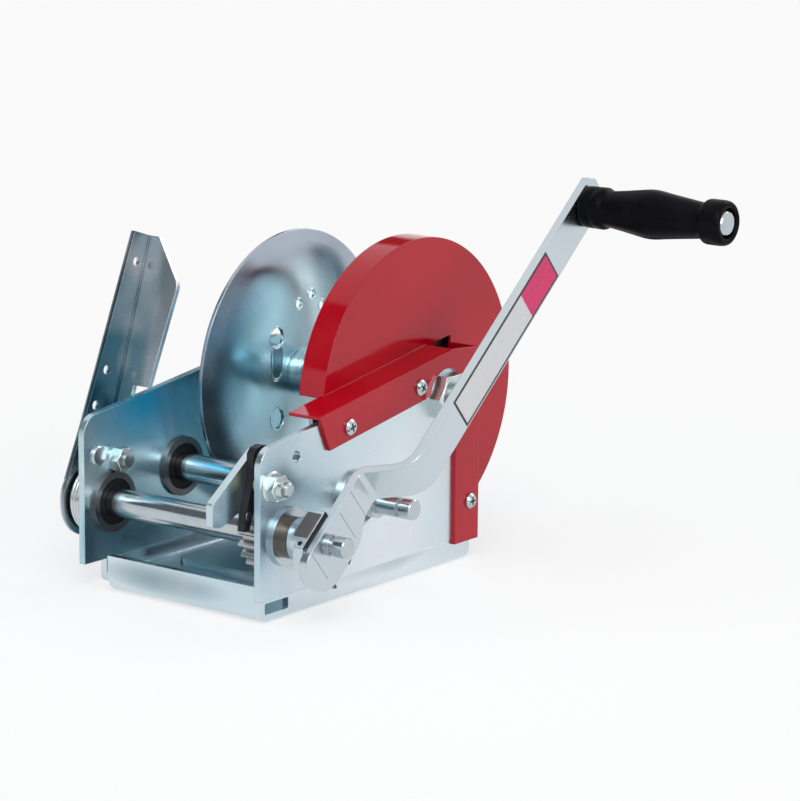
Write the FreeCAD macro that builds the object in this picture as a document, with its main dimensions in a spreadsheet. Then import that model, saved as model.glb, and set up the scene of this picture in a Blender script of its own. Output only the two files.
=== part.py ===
"""Two-shaft geared hand winch with a wide rope drum, gear guard, crank and brake lever.

X runs along the drum axle towards the crank, Y from the front lip to the back and
Z up.  The origin is the centre of the mounting face under the base.
"""

import FreeCAD, Part
import math
import os
import re

import Sketcher

Vector = FreeCAD.Vector

# Millimetres, degrees and counts
SIZES = {
    # Frame of two side plates welded on a pressed base
    "frame_width": 159,
    "front_margin": 29,
    "rear_margin": 31,
    "front_above": 62,
    "rear_above": 25,
    "plate_thick": 5,
    "top_front_round": 14,
    "top_rear_round": 22,
    "bend_outer": 3.5,
    "bend_inner": 1.5,
    "bend_height": 15.5,
    "lip_height": 25.5,
    "lip_inset": 25.5,
    "lip_bend": 12,
    "rear_bend": 7,
    "lip_round": 8,
    "corner_notch": 22,
    "window_front": 5,
    "window_length": 24.5,
    "window_low": 6,
    "window_high": 13.5,
    "arch_front": 83,
    "arch_length": 48,
    "arch_rise": 3.3,
    "corner_hole_front": 72,
    "corner_hole_low": 7,
    "corner_hole_size": 8,
    "panel_front": 76,
    "panel_length": 110,
    "panel_inset": 14.5,
    "panel_rise": 3,
    "panel_round": 10,
    "mount_hole_dia": 11,
    "mount_spacing_across": 90,
    "mount_spacing_along": 150,
    "mount_middle": 12,
    "plate_hole_back": 8.5,
    "plate_hole_above": 52.3,
    "plate_hole_dia": 8,
    "drain_hole_ahead": 6.3,
    "drain_hole_below": 42,
    "drain_hole_dia": 5,
    # Shafts: the second and the drum axle are placed by their rise and gear distances
    "first_shaft_z": 54.5,
    "second_rise": 12.1,
    "drum_rise": 55,
    "shaft_dia": 20,
    "shaft_tip_dia": 14,
    "shaft_reach": 50.5,
    "tip_length": 30,
    "shaft_chamfer": 0.8,
    "shaft_out_left": 6,
    "shaft_ring_dia": 28,
    "shaft_ring_thick": 2,
    "second_shaft_out": 2,
    "groove_width": 3,
    "groove_back": 9,
    "groove_depth": 1.5,
    "running_gap": 0.05,
    "end_gap": 0.4,
    # Flanged bushes
    "bush_outer_dia": 28,
    "bush_flange_dia": 42,
    "bush_flange_thick": 2.5,
    "bush_recess_dia": 33,
    "bush_recess_depth": 1.2,
    "silver_flange_dia": 40,
    "silver_flange_thick": 3,
    "bronze_reach": 9,
    # Gears
    "fast_module": 2.5,
    "fast_pinion_teeth": 18,
    "fast_gear_teeth": 40,
    "slow_module": 4,
    "slow_pinion_teeth": 9,
    "slow_gear_teeth": 48,
    "slow_shift": 0.5,
    "slow_pinion_tip": 0.8,
    "root_clearance": 0.25,
    "backlash": 0.5,
    "pressure_angle": 20,
    "fast_gear_inset": 17.5,
    "fast_gear_thick": 10,
    "fast_pinion_thick": 14,
    "slow_gear_inset": 34.5,
    "slow_gear_thick": 10,
    "slow_pinion_inset": 37.5,
    "slow_pinion_thick": 16,
    # Drum
    "flange_dia": 203,
    "flange_inset": 17.5,
    "flange_dish": 9,
    "flange_step": 3,
    "flange_flat_dia": 122,
    "flange_flare_dia": 168,
    "flange_flat_round": 200,
    "flange_flare_round": 90,
    "flat_round_share": 0.58,
    "lip_round_share": 0.9,
    "round_least_turn": 0.01,
    "flange_thick": 2.5,
    "flange_hole_dia": 14.5,
    "flange_hole_ring": 41.7,
    "flange_hole_upper": 136,
    "flange_hole_lower": 225,
    "clamp_hole_dia": 7,
    "clamp_hole_ring": 50,
    "clamp_hole_outer": 55.4,
    "clamp_hole_middle": 80.5,
    "clamp_hole_step": 15.5,
    "core_dia": 34,
    "core_rib_width": 2,
    "core_rib_depth": 1.2,
    "core_ribs": 4,
    "disc_inset": 38.5,
    "disc_thick": 3,
    "disc_dia": 184,
    "axle_dia": 20,
    "axle_out_left": 12.5,
    "axle_out_right": 17.5,
    "axle_nut_across": 30,
    "axle_nut_thick": 10,
    # Gear guard of sheet
    "guard_dia": 215,
    "guard_thick": 2,
    "guard_inset": 17,
    "guard_rim_width": 21,
    "shelf_front": 58.9,
    "shelf_rear": 23.7,
    "shelf_front_rise": 8.1,
    "shelf_slope": 9,
    "bracket_front_drop": 26,
    "bracket_mid_drop": 25,
    "bracket_nose": 10.9,
    "bracket_thick": 2.5,
    "leg_width": 27.5,
    "leg_overhang": 7.2,
    "leg_foot_z": 13,
    "leg_top": 29,
    "guard_low": 84,
    "axle_arch_dia": 38,
    "front_screw_ahead": 109.4,
    "front_screw_below": 3.5,
    "middle_screw_ahead": 31.1,
    "middle_screw_above": 10.7,
    "rear_screw_back": 27.9,
    "rear_screw_below": 80.1,
    "screw_dia": 5,
    "screw_head_dia": 11,
    "screw_head_thick": 3,
    "screw_end": 2,
    "screw_chamfer": 1.5,
    # Crank
    "crank_angle": 40.2,
    "crank_throw": 308,
    "crank_width": 26.4,
    "crank_thick": 6,
    "foot_gap": 21.5,
    "foot_reach": 54.8,
    "foot_back": 31,
    "foot_low": 23.5,
    "foot_shoulder": 18,
    "foot_end": 36,
    "foot_round": 14,
    "foot_low_round": 20,
    "joggle_end": 65.5,
    "joggle_offset": 36,
    "joggle_foot_round": 4,
    "joggle_arm_round": 14,
    "arm_overhang": 19,
    "arm_chamfer": 6,
    "hub_dia": 30,
    "hub_thick": 11,
    "hub_gap": 1.5,
    "hub_neck_dia": 17,
    "flap_width": 9,
    "flap_back": 14,
    "flap_front": 20,
    "flap_thick": 4,
    "latch_width": 8,
    "latch_thick": 2,
    "latch_front": 15,
    "latch_back": 16.5,
    "latch_tongue": 15,
    "latch_gap": 0.5,
    # Grip
    "grip_pin_dia": 10,
    "grip_length": 114,
    "grip_collar_dia": 28,
    "grip_waist_dia": 25,
    "grip_belly_dia": 34,
    "grip_belly_place": 52,
    "grip_belly_length": 24,
    "grip_end_dia": 31,
    "grip_end_length": 16,
    "grip_collar_length": 14,
    "grip_taper": 4,
    "grip_round": 2,
    "pin_head_dia": 17,
    "pin_head_thick": 3,
    "pin_head_gap": 1,
    # Brake lever and its wrap spring
    "lever_inset": 19.5,
    "lever_thick": 3.5,
    "lever_end_radius": 27,
    "lever_lean": 18.2,
    "lever_top": 185,
    "lever_fold": 9.5,
    "lever_top_back": 10,
    "lever_foot": 20,
    "lever_heel": 8,
    "lever_waist": 22,
    "lever_waist_z": 47,
    "lever_flange_low": 81,
    "lever_flange_tip": 154,
    "lever_flange_start": 30,
    "lever_flange_bend": 70,
    "lever_flange_skirt": 16.5,
    "lever_flange_step": 30,
    "lever_flange_reach": 37,
    "lever_flange_top": 12,
    "lever_hole_dia": 7,
    "lever_high_hole": 165,
    "lever_middle_hole": 87.5,
    "lever_low_hole": 62,
    "spring_dia": 37,
    "spring_wire_radial": 3.6,
    "spring_wire_axial": 2.2,
    "spring_turns": 4.8,
    "spring_pitch": 2.5,
    # Pawl
    "pawl_bolt_ahead": 16.3,
    "pawl_bolt_above": 36.5,
    "pawl_bolt_dia": 10,
    "pawl_inset": 11.5,
    "pawl_thick": 6,
    "thumb_thick": 5.5,
    "pawl_drop": 29,
    "thumb_reach": 41,
    "pawl_rivet_dia": 6,
    "pawl_rivet_ahead": 11.5,
    "pawl_rivet_below": 19,
    "pawl_spacer_dia": 16,
    # Small fasteners
    "hex_across": 16,
    "hex_thick": 8,
    "hex_head_thick": 6,
    "bolt_end": 7,
    "bolt_head_dia": 14,
    "bolt_head_thick": 2,
    "stop_bolt_back": 3,
    "stop_bolt_above": 30,
    "stop_bolt_dia": 10,
    "stop_bolt_end": 2.5,
    "washer_dia": 18,
    "washer_thick": 2,
    "rivet_ahead": 15,
    "rivet_above": 34.5,
    "rivet_dia": 8,
    "rivet_head_dia": 14,
    "rivet_head_thick": 2,
    "rivet_chamfer": 1,
}

doc = FreeCAD.newDocument("Winch")
sheet = doc.addObject("Spreadsheet::Sheet", "Size")
for row, (alias, size) in enumerate(SIZES.items(), start=1):
    sheet.set(f"A{row}", alias)
    sheet.set(f"B{row}", str(size))
    sheet.setAlias(f"B{row}", alias)
doc.recompute()

nodes = []


def size(alias):
    """The number in one cell of the sheet."""
    return float(sheet.get(alias))


def refer(formula):
    """An expression in which each size's alias is read from the sheet."""
    return re.sub("[a-z_]+", lambda word: f"Size.{word[0]}" if word[0] in SIZES else word[0], formula)


def bind(feature, **formulas):
    """Bind properties to formulas; a double underscore stands for a dot."""
    for name, formula in formulas.items():
        feature.setExpression(name.replace("__", "."), refer(formula))


def number(formula):
    """The present value of a formula."""
    return float(sheet.evalExpression(refer(formula)))


def new_body(label, y="0", z="0", tilt=None):
    """A body placed on the axis at (y, z), turned about X by the tilt."""
    body = doc.addObject("PartDesign::Body", label)
    body.Label = label
    if tilt is not None:
        body.Placement = FreeCAD.Placement(Vector(), FreeCAD.Rotation(Vector(1, 0, 0), 1))
        bind(body, Placement__Rotation__Angle=f"( {tilt} ) * 1 deg")
    bind(body, Placement__Base__y=y, Placement__Base__z=z)
    nodes.append(body)
    return body


def new_sketch(body, plane, offset="0"):
    """A sketch on one of the body's own origin planes, moved along its normal."""
    sketch = body.newObject("Sketcher::SketchObject", f"{body.Label}_sketch")
    role = f"{plane}_Plane"
    support = next(item for item in body.Origin.OriginFeatures if item.Role == role)
    sketch.AttachmentSupport = (support, [""])
    sketch.MapMode = "FlatFace"
    bind(sketch, AttachmentOffset__Base__z=offset)
    return sketch


def pin_point(sketch, geometry, position, x, y):
    """Tie one point of the sketch to its formulas."""
    for kind, formula in (("DistanceX", x), ("DistanceY", y)):
        distance = number(formula)
        rule = Sketcher.Constraint(kind, -1, 1, geometry, position, distance)
        index = sketch.addConstraint(rule)
        sketch.setExpression(f"Constraints[{index}]", refer(formula))


def add_circle(sketch, x, y, radius):
    """A circle whose centre and radius follow formulas."""
    centre = Vector(number(x), number(y), 0)
    circle = sketch.addGeometry(Part.Circle(centre, Vector(0, 0, 1), number(radius)), False)
    pin_point(sketch, circle, 3, x, y)
    index = sketch.addConstraint(Sketcher.Constraint("Radius", circle, number(radius)))
    sketch.setExpression(f"Constraints[{index}]", refer(radius))


def corner_arc(before, corner, after, radius):
    """The arc that rounds a corner, with its two tangent points."""
    back = (before - corner).normalize()
    ahead = (after - corner).normalize()
    half = back.getAngle(ahead) / 2
    reach = radius / math.tan(half)
    start = corner + back * reach
    end = corner + ahead * reach
    middle = corner + (back + ahead).normalize() * (radius / math.sin(half) - radius)
    return start, end, Part.Arc(start, middle, end)


def add_outline(sketch, corners):
    """A closed outline of corners (x, y) or (x, y, radius), all formulas."""
    points = [Vector(number(x), number(y), 0) for x, y, *_ in corners]
    count = len(points)
    arcs = {}
    arrive, leave = list(points), list(points)
    for i, corner in enumerate(corners):
        if len(corner) == 3:
            before, after = points[i - 1], points[(i + 1) % count]
            radius = number(corner[2])
            arrive[i], leave[i], arcs[i] = corner_arc(before, points[i], after, radius)
    lines = []
    for i in range(count):
        side = Part.LineSegment(leave[i], arrive[(i + 1) % count])
        lines.append(sketch.addGeometry(side, False))
    for i, (x, y, *_) in enumerate(corners):
        if i not in arcs:
            sketch.addConstraint(Sketcher.Constraint("Coincident", lines[i - 1], 2, lines[i], 1))
            pin_point(sketch, lines[i], 1, x, y)
            continue
        arc = sketch.addGeometry(arcs[i], False)
        starts_here = sketch.getPoint(arc, 1).distanceToPoint(arrive[i]) < 1e-6
        first, last = (1, 2) if starts_here else (2, 1)
        sketch.addConstraint(Sketcher.Constraint("Tangent", lines[i - 1], 2, arc, first))
        sketch.addConstraint(Sketcher.Constraint("Tangent", arc, last, lines[i], 1))
        index = sketch.addConstraint(Sketcher.Constraint("Radius", arc, number(corners[i][2])))
        sketch.setExpression(f"Constraints[{index}]", refer(corners[i][2]))
        tip = sketch.addGeometry(Part.Point(points[i]), True)
        sketch.addConstraint(Sketcher.Constraint("PointOnObject", tip, 1, lines[i - 1]))
        sketch.addConstraint(Sketcher.Constraint("PointOnObject", tip, 1, lines[i]))
        pin_point(sketch, tip, 1, x, y)


def pad(body, plane, start, length, corners=(), circles=()):
    """Pad an outline or circles from a start along the plane's normal."""
    sketch = new_sketch(body, plane, start)
    if corners:
        add_outline(sketch, corners)
    for x, y, radius in circles:
        add_circle(sketch, x, y, radius)
    feature = body.newObject("PartDesign::Pad", f"{body.Label}_pad")
    feature.Profile = sketch
    bind(feature, Length=length)
    body.Tip = feature
    return feature


def pocket(body, plane, start, depth, corners=(), circles=()):
    """Cut an outline or circles from a start against the plane's normal."""
    sketch = new_sketch(body, plane, start)
    if corners:
        add_outline(sketch, corners)
    for x, y, radius in circles:
        add_circle(sketch, x, y, radius)
    doc.recompute()
    before = body.Shape.Volume
    feature = body.newObject("PartDesign::Pocket", f"{body.Label}_pocket")
    feature.Profile = sketch
    bind(feature, Length=depth)
    body.Tip = feature
    doc.recompute()
    if body.Shape.Volume > before - 1e-6:
        raise ValueError(f"{feature.Name} cuts nothing")
    return feature


def revolve(body, corners, kind="Revolution"):
    """Turn an outline of (x, radius) corners about the body's X axis."""
    sketch = new_sketch(body, "XZ")
    add_outline(sketch, corners)
    feature = body.newObject(f"PartDesign::{kind}", f"{body.Label}_turned")
    feature.Profile = sketch
    feature.ReferenceAxis = (sketch, ["H_Axis"])
    feature.Angle = 360
    body.Tip = feature
    return feature


def ring(label, y, z, left, right, outer, inner):
    """A plain ring or washer on the axis at (y, z)."""
    body = new_body(label, y, z)
    pad(body, "YZ", left, f"{right} - ( {left} )", circles=[("0", "0", outer), ("0", "0", inner)])
    return body


def rod(label, y, z, left, right, radius):
    """A plain round bar on the axis at (y, z)."""
    body = new_body(label, y, z)
    pad(body, "YZ", left, f"{right} - ( {left} )", circles=[("0", "0", radius)])
    return body


def ring_place(radius, turn):
    """A place on a ring round the axis, at a turn in degrees from the Y axis."""
    return f"{radius} * cos( ( {turn} ) * 1deg )", f"{radius} * sin( ( {turn} ) * 1deg )"


def hexagon(across):
    """Corners of a hexagon with the given size across its flats."""
    return [
        (f"{across} / sqrt( 3 ) * cos( {60 * i} deg )", f"{across} / sqrt( 3 ) * sin( {60 * i} deg )")
        for i in range(6)
    ]


# Places that several pieces share
INNER = "( frame_width / 2 - plate_thick )"
OUTER = "( frame_width / 2 )"
SHAFT_R = "( shaft_dia / 2 )"
FAST_DISTANCE = "( fast_module * ( fast_pinion_teeth + fast_gear_teeth ) / 2 )"
SLOW_DISTANCE = "( slow_module * ( slow_pinion_teeth + slow_gear_teeth ) / 2 )"
FIRST_STEP = f"sqrt( {FAST_DISTANCE} ^ 2 - second_rise ^ 2 )"
SECOND_STEP = f"sqrt( {SLOW_DISTANCE} ^ 2 - drum_rise ^ 2 )"
LENGTH = f"( front_margin + {FIRST_STEP} + {SECOND_STEP} + rear_margin )"
FRONT = f"( -{LENGTH} / 2 )"
BACK = f"( {LENGTH} / 2 )"
FIRST_Y = f"( {FRONT} + front_margin )"
SECOND_Y = f"( {FIRST_Y} + {FIRST_STEP} )"
DRUM_Y = f"( {BACK} - rear_margin )"
SECOND_Z = "( first_shaft_z + second_rise )"
DRUM_Z = f"( {SECOND_Z} + drum_rise )"
FRONT_HEIGHT = "( first_shaft_z + front_above )"
REAR_HEIGHT = f"( {DRUM_Z} + rear_above )"
FIRST = (FIRST_Y, "first_shaft_z")
SECOND = (SECOND_Y, SECOND_Z)
DRUM = (DRUM_Y, DRUM_Z)
PAWL_BOLT = (f"( {FIRST_Y} - pawl_bolt_ahead )", "( first_shaft_z + pawl_bolt_above )")
STOP_BOLT = (f"( {FIRST_Y} + stop_bolt_back )", "( first_shaft_z + stop_bolt_above )")
RIVET = (f"( {FIRST_Y} - rivet_ahead )", "( first_shaft_z + rivet_above )")
REACH = f"( {OUTER} + shaft_reach )"
FOOT = f"( {OUTER} + bronze_reach + foot_gap )"
ARM = f"( {FOOT} + joggle_offset )"
LEVER_X = f"( -{OUTER} - lever_inset )"
SCREWS = [
    (f"( {DRUM_Y} - front_screw_ahead )", f"( {DRUM_Z} - front_screw_below )"),
    (f"( {DRUM_Y} - middle_screw_ahead )", f"( {DRUM_Z} + middle_screw_above )"),
    (f"( {DRUM_Y} + rear_screw_back )", f"( {DRUM_Z} - rear_screw_below )"),
]


def side_plate(label, left, holes):
    """A side plate with bores for both bushes and the drum axle."""
    plate = new_body(label)
    bores = [
        (*FIRST, "bush_outer_dia / 2"),
        (*SECOND, "bush_outer_dia / 2"),
        (*DRUM, "axle_dia / 2"),
    ]
    corners = [
        (FRONT, "bend_height"),
        (BACK, "bend_height"),
        (BACK, REAR_HEIGHT, "top_rear_round"),
        (FRONT, FRONT_HEIGHT, "top_front_round"),
    ]
    pad(plate, "YZ", left, "plate_thick", corners, bores + holes)


def base():
    """Pressed base: web with turned-up edges, a front lip, a notch and holes."""
    plate = new_body("base_plate")
    channel = [
        (f"-{OUTER}", "bend_height"),
        (f"-{OUTER}", "0", "bend_outer"),
        (OUTER, "0", "bend_outer"),
        (OUTER, "bend_height"),
        (INNER, "bend_height"),
        (INNER, "plate_thick", "bend_inner"),
        (f"-{INNER}", "plate_thick", "bend_inner"),
        (f"-{INNER}", "bend_height"),
    ]
    pad(plate, "XZ", f"-{BACK}", LENGTH, channel)
    lip_left = f"( -{OUTER} + lip_inset )"
    notch_back = f"{FRONT} + corner_notch"
    notch = [
        (f"-{OUTER} - 1", f"{FRONT} - 1"),
        (lip_left, f"{FRONT} - 1"),
        (lip_left, notch_back, "plate_thick"),
        (f"-{OUTER} - 1", notch_back),
    ]
    pocket(plate, "XY", "bend_height + 1", "bend_height + 2", notch)
    side = f"( {INNER} - panel_inset )"
    near = f"{FRONT} + panel_front"
    far = f"{near} + panel_length"
    corners = [(f"-{side}", near), (side, near), (side, far), (f"-{side}", far)]
    pad(plate, "XY", "plate_thick", "panel_rise", [(x, y, "panel_round") for x, y in corners])
    lip = [
        (lip_left, "0", "lip_round"),
        (INNER, "0"),
        (INNER, "lip_height"),
        (lip_left, "lip_height"),
    ]
    pad(plate, "XZ", f"{BACK} - plate_thick", "plate_thick", lip)
    for edge, inward, bend in ((FRONT, 1, "lip_bend"), (BACK, -1, "rear_bend")):
        pocket(plate, "YZ", f"{OUTER} + 1", "frame_width + 2", [
            (f"{edge} - {inward}", "-1"),
            (f"{edge} + {inward} * ( {bend} + 1 )", "-1"),
            (f"{edge} + {inward} * ( {bend} + 1 )", "0"),
            (edge, "0", bend),
            (edge, f"{bend} + 1"),
            (f"{edge} - {inward}", f"{bend} + 1"),
        ])
    start = f"{FRONT} + window_front"
    window = [
        (start, "window_low", "1"),
        (f"{start} + window_length", "window_low", "1"),
        (f"{start} + window_length", "window_high", "1"),
        (start, "window_high", "1"),
    ]
    pocket(plate, "YZ", f"{OUTER} + 1", "plate_thick + 2", window)
    arch = f"{FRONT} + arch_front"
    pocket(plate, "YZ", f"{OUTER} + 1", "bend_outer + 1", [
        (arch, "-1"),
        (f"{arch} + arch_length", "-1"),
        (f"{arch} + arch_length", "0"),
        (f"{arch} + arch_length * 0.75", "arch_rise", "6"),
        (f"{arch} + arch_length * 0.35", "arch_rise", "6"),
        (arch, "0"),
    ])
    corner = f"{FRONT} + corner_hole_front"
    pocket(plate, "YZ", f"{OUTER} + 1", "plate_thick + 2", [
        (corner, "corner_hole_low + corner_hole_size / 2", "1"),
        (f"{corner} + corner_hole_size * 1.4", "corner_hole_low", "1"),
        (f"{corner} + corner_hole_size * 0.7", "corner_hole_low + corner_hole_size * 0.9", "1"),
    ])
    holes = [
        (f"{side} * mount_spacing_across / 2", f"mount_middle + {end} * mount_spacing_along / 2",
         "mount_hole_dia / 2")
        for side in (-1, 1)
        for end in (-1, 1)
    ]
    pocket(plate, "XY", "plate_thick + 1", "plate_thick + 2", circles=holes)


def inner_bush(label, place):
    """Dark bush in the left plate, with a recessed flange on the inside."""
    bush = new_body(label, *place)
    face = f"( -{INNER} + bush_flange_thick )"
    revolve(bush, [
        (f"-{OUTER}", f"{SHAFT_R} + running_gap"),
        (f"{face} - bush_recess_depth", f"{SHAFT_R} + running_gap"),
        (f"{face} - bush_recess_depth", "bush_recess_dia / 2"),
        (face, "bush_recess_dia / 2"),
        (face, "bush_flange_dia / 2"),
        (f"-{INNER}", "bush_flange_dia / 2"),
        (f"-{INNER}", "bush_outer_dia / 2"),
        (f"-{OUTER}", "bush_outer_dia / 2"),
    ])


def outer_bush(name, place):
    """Bronze bush through the right plate with a bright ring round it outside."""
    ring(f"{name}_bush_right", *place, INNER, f"{OUTER} + bronze_reach",
         "bush_outer_dia / 2", f"{SHAFT_R} + running_gap")
    ring(f"{name}_ring_right", *place, OUTER, f"{OUTER} + silver_flange_thick",
         "silver_flange_dia / 2", "bush_outer_dia / 2")


def shaft(label, place, left):
    """Shaft whose right end is turned down and grooved for the crank."""
    body = new_body(label, *place)
    shoulder = f"{REACH} - tip_length"
    groove = f"{REACH} - groove_back"
    revolve(body, [
        (left, "0"),
        (REACH, "0"),
        (REACH, "shaft_tip_dia / 2 - shaft_chamfer"),
        (f"{REACH} - shaft_chamfer", "shaft_tip_dia / 2"),
        (groove, "shaft_tip_dia / 2"),
        (groove, "shaft_tip_dia / 2 - groove_depth"),
        (f"{groove} - groove_width", "shaft_tip_dia / 2 - groove_depth"),
        (f"{groove} - groove_width", "shaft_tip_dia / 2"),
        (shoulder, "shaft_tip_dia / 2"),
        (shoulder, SHAFT_R),
        (left, SHAFT_R),
    ])


def involute(angle):
    """The involute of an angle in radians."""
    return math.tan(angle) - angle


def flank(module, teeth, shift, addendum):
    """Half tooth as (radius, half angle) pairs from root to tip."""
    pressure = math.radians(size("pressure_angle"))
    pitch_radius = module * teeth / 2
    base_radius = pitch_radius * math.cos(pressure)
    root_radius = pitch_radius - module * (1 + size("root_clearance") - shift)
    tip_radius = pitch_radius + module * (addendum + shift)
    width = module * (math.pi / 2 + 2 * shift * math.tan(pressure)) - size("backlash") / 2
    pitch_angle = width / (2 * pitch_radius) + involute(pressure)
    start = max(root_radius, base_radius)
    steps = 3
    pairs = [(root_radius, pitch_angle - involute(math.acos(min(1, base_radius / start))))]
    for i in range(steps + 1):
        radius = start + (tip_radius - start) * i / steps
        pairs.append((radius, pitch_angle - involute(math.acos(min(1, base_radius / radius)))))
    if root_radius >= base_radius:
        pairs.pop(0)
    return pairs


def gear(label, place, left, thick, tooth, teeth, phase, bore):
    """Spur gear with involute teeth, the first of them at the phase angle."""
    corners = []
    for i in range(teeth):
        middle = phase + 2 * math.pi * i / teeth
        rise = [(radius, middle - half) for radius, half in tooth]
        fall = [(radius, middle + half) for radius, half in reversed(tooth)]
        corners += rise + fall
    points = [Vector(0, r * math.cos(a), r * math.sin(a)) for r, a in corners]
    rim = Part.Face(Part.makePolygon(points + points[:1]))
    blank = rim.extrude(Vector(number(thick), 0, 0))
    hole = Part.makeCylinder(number(bore), number(thick), Vector(), Vector(1, 0, 0))
    feature = doc.addObject("Part::Feature", label)
    feature.Label = label
    feature.Shape = blank.cut(hole)
    feature.Placement = FreeCAD.Placement(
        Vector(number(left), number(place[0]), number(place[1])), FreeCAD.Rotation()
    )
    nodes.append(feature)


def gear_pair(driver, driven):
    """Two gears in mesh: a tooth of the driver points into a gap of the driven."""
    first, second = driver["place"], driven["place"]
    rise = number(second[1]) - number(first[1])
    run = number(second[0]) - number(first[0])
    line = math.atan2(rise, run)
    gear(phase=line, **driver)
    gear(phase=line + math.pi + math.pi / driven["teeth"], **driven)


def fast_pair():
    """First shaft's pinion and the second shaft's wheel."""
    module = size("fast_module")
    small, large = int(size("fast_pinion_teeth")), int(size("fast_gear_teeth"))
    gear_pair(
        dict(label="first_pinion", place=FIRST, left=f"{INNER} - fast_gear_inset", thick="fast_pinion_thick",
             tooth=flank(module, small, 0, 1), teeth=small, bore=SHAFT_R),
        dict(label="second_wheel", place=SECOND, left=f"{INNER} - fast_gear_inset", thick="fast_gear_thick",
             tooth=flank(module, large, 0, 1), teeth=large, bore=SHAFT_R),
    )


def slow_pair():
    """Second shaft's pinion and the drum gear, both shifted so no tooth is undercut."""
    module, shift = size("slow_module"), size("slow_shift")
    small, large = int(size("slow_pinion_teeth")), int(size("slow_gear_teeth"))
    gear_pair(
        dict(label="second_pinion", place=SECOND, left=f"{INNER} - slow_pinion_inset", thick="slow_pinion_thick",
             tooth=flank(module, small, shift, size("slow_pinion_tip")), teeth=small, bore=SHAFT_R),
        dict(label="drum_gear", place=DRUM, left=f"{INNER} - slow_gear_inset", thick="slow_gear_thick",
             tooth=flank(module, large, -shift, 1), teeth=large, bore="core_dia / 2"),
    )


def round_room(side, share, turn):
    """The largest round that takes no more than a share of a side of the profile."""
    rise, run = side
    return f"( {share} ) * sqrt( ( {rise} ) ^ 2 + ( {run} ) ^ 2 ) / tan( ( {turn} ) / 2 + round_least_turn * 1 deg )"


def drum():
    """Dished left flange with its holes, ribbed core, right disc and the fixed axle."""
    flange = new_body("drum_flange", *DRUM)
    rim = f"( -{INNER} + flange_inset )"
    flat = f"( {rim} + flange_dish )"
    flare = f"( {flat} - flange_step )"
    slope = ("flange_step", "( flange_flare_dia - flange_flat_dia ) / 2")
    lip = ("( flange_dish - flange_step )", "( flange_dia - flange_flare_dia ) / 2")
    flat_turn = f"atan( {slope[0]} / ( {slope[1]} ) )"
    flare_turn = f"abs( atan( {lip[0]} / ( {lip[1]} ) ) - {flat_turn} )"
    flat_round = f"min( flange_flat_round ; {round_room(slope, 'flat_round_share', flat_turn)} )"
    flare_room = [round_room(slope, "1 - flat_round_share", flare_turn), round_room(lip, "lip_round_share", flare_turn)]
    flare_round = f"min( flange_flare_round ; {flare_room[0]} ; {flare_room[1]} )"
    revolve(flange, [
        (flat, "core_dia / 2"),
        (f"{flat} + flange_thick", "core_dia / 2"),
        (f"{flat} + flange_thick", "flange_flat_dia / 2", flat_round),
        (f"{flare} + flange_thick", "flange_flare_dia / 2", flare_round),
        (f"{rim} + flange_thick", "flange_dia / 2"),
        (rim, "flange_dia / 2"),
        (flare, "flange_flare_dia / 2", flare_round),
        (flat, "flange_flat_dia / 2", flat_round),
    ])
    large = [ring_place("flange_hole_ring", turn) + ("flange_hole_dia / 2",)
             for turn in ("flange_hole_upper", "flange_hole_lower")]
    small = [ring_place(ring_radius, f"clamp_hole_middle + {side} * clamp_hole_step") + ("clamp_hole_dia / 2",)
             for side, ring_radius in ((-1, "clamp_hole_ring"), (0, "clamp_hole_outer"), (1, "clamp_hole_ring"))]
    pocket(flange, "YZ", f"{flat} + flange_thick + 1", "flange_thick + 2", circles=large + small)
    core_end = f"( {INNER} - end_gap )"
    core = new_body("drum_core", *DRUM)
    grooves = []
    for i in range(int(size("core_ribs"))):
        start = f"( {flat} + flange_thick + {i} * 2 * core_rib_width )"
        grooves += [
            (start, "core_dia / 2"),
            (start, "core_dia / 2 - core_rib_depth"),
            (f"{start} + core_rib_width", "core_dia / 2 - core_rib_depth"),
            (f"{start} + core_rib_width", "core_dia / 2"),
        ]
    revolve(core, [
        (f"-{core_end}", "axle_dia / 2 + running_gap"),
        (f"-{core_end}", "core_dia / 2"),
        *grooves,
        (core_end, "core_dia / 2"),
        (core_end, "axle_dia / 2 + running_gap"),
    ])
    disc = f"( {INNER} - disc_inset )"
    ring("drum_disc", *DRUM, f"{disc} - disc_thick", disc, "disc_dia / 2", "core_dia / 2")
    rod("drum_axle", *DRUM, f"-{OUTER} - axle_out_left", f"{OUTER} + axle_out_right", "axle_dia / 2")
    for side, start in (("left", f"-{OUTER} - axle_nut_thick"), ("right", OUTER)):
        nut = new_body(f"axle_nut_{side}", *DRUM)
        pad(nut, "YZ", start, "axle_nut_thick", hexagon("axle_nut_across"),
            [("0", "0", "axle_dia / 2")])


def shelf(y):
    """Height of the guard's shelf over the drum axle, y measured from that axle."""
    rise = f"( {y} - ( {FRONT} + shelf_front - {DRUM_Y} ) ) * tan( shelf_slope * 1deg )"
    return f"( shelf_front_rise + {rise} )"


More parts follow.
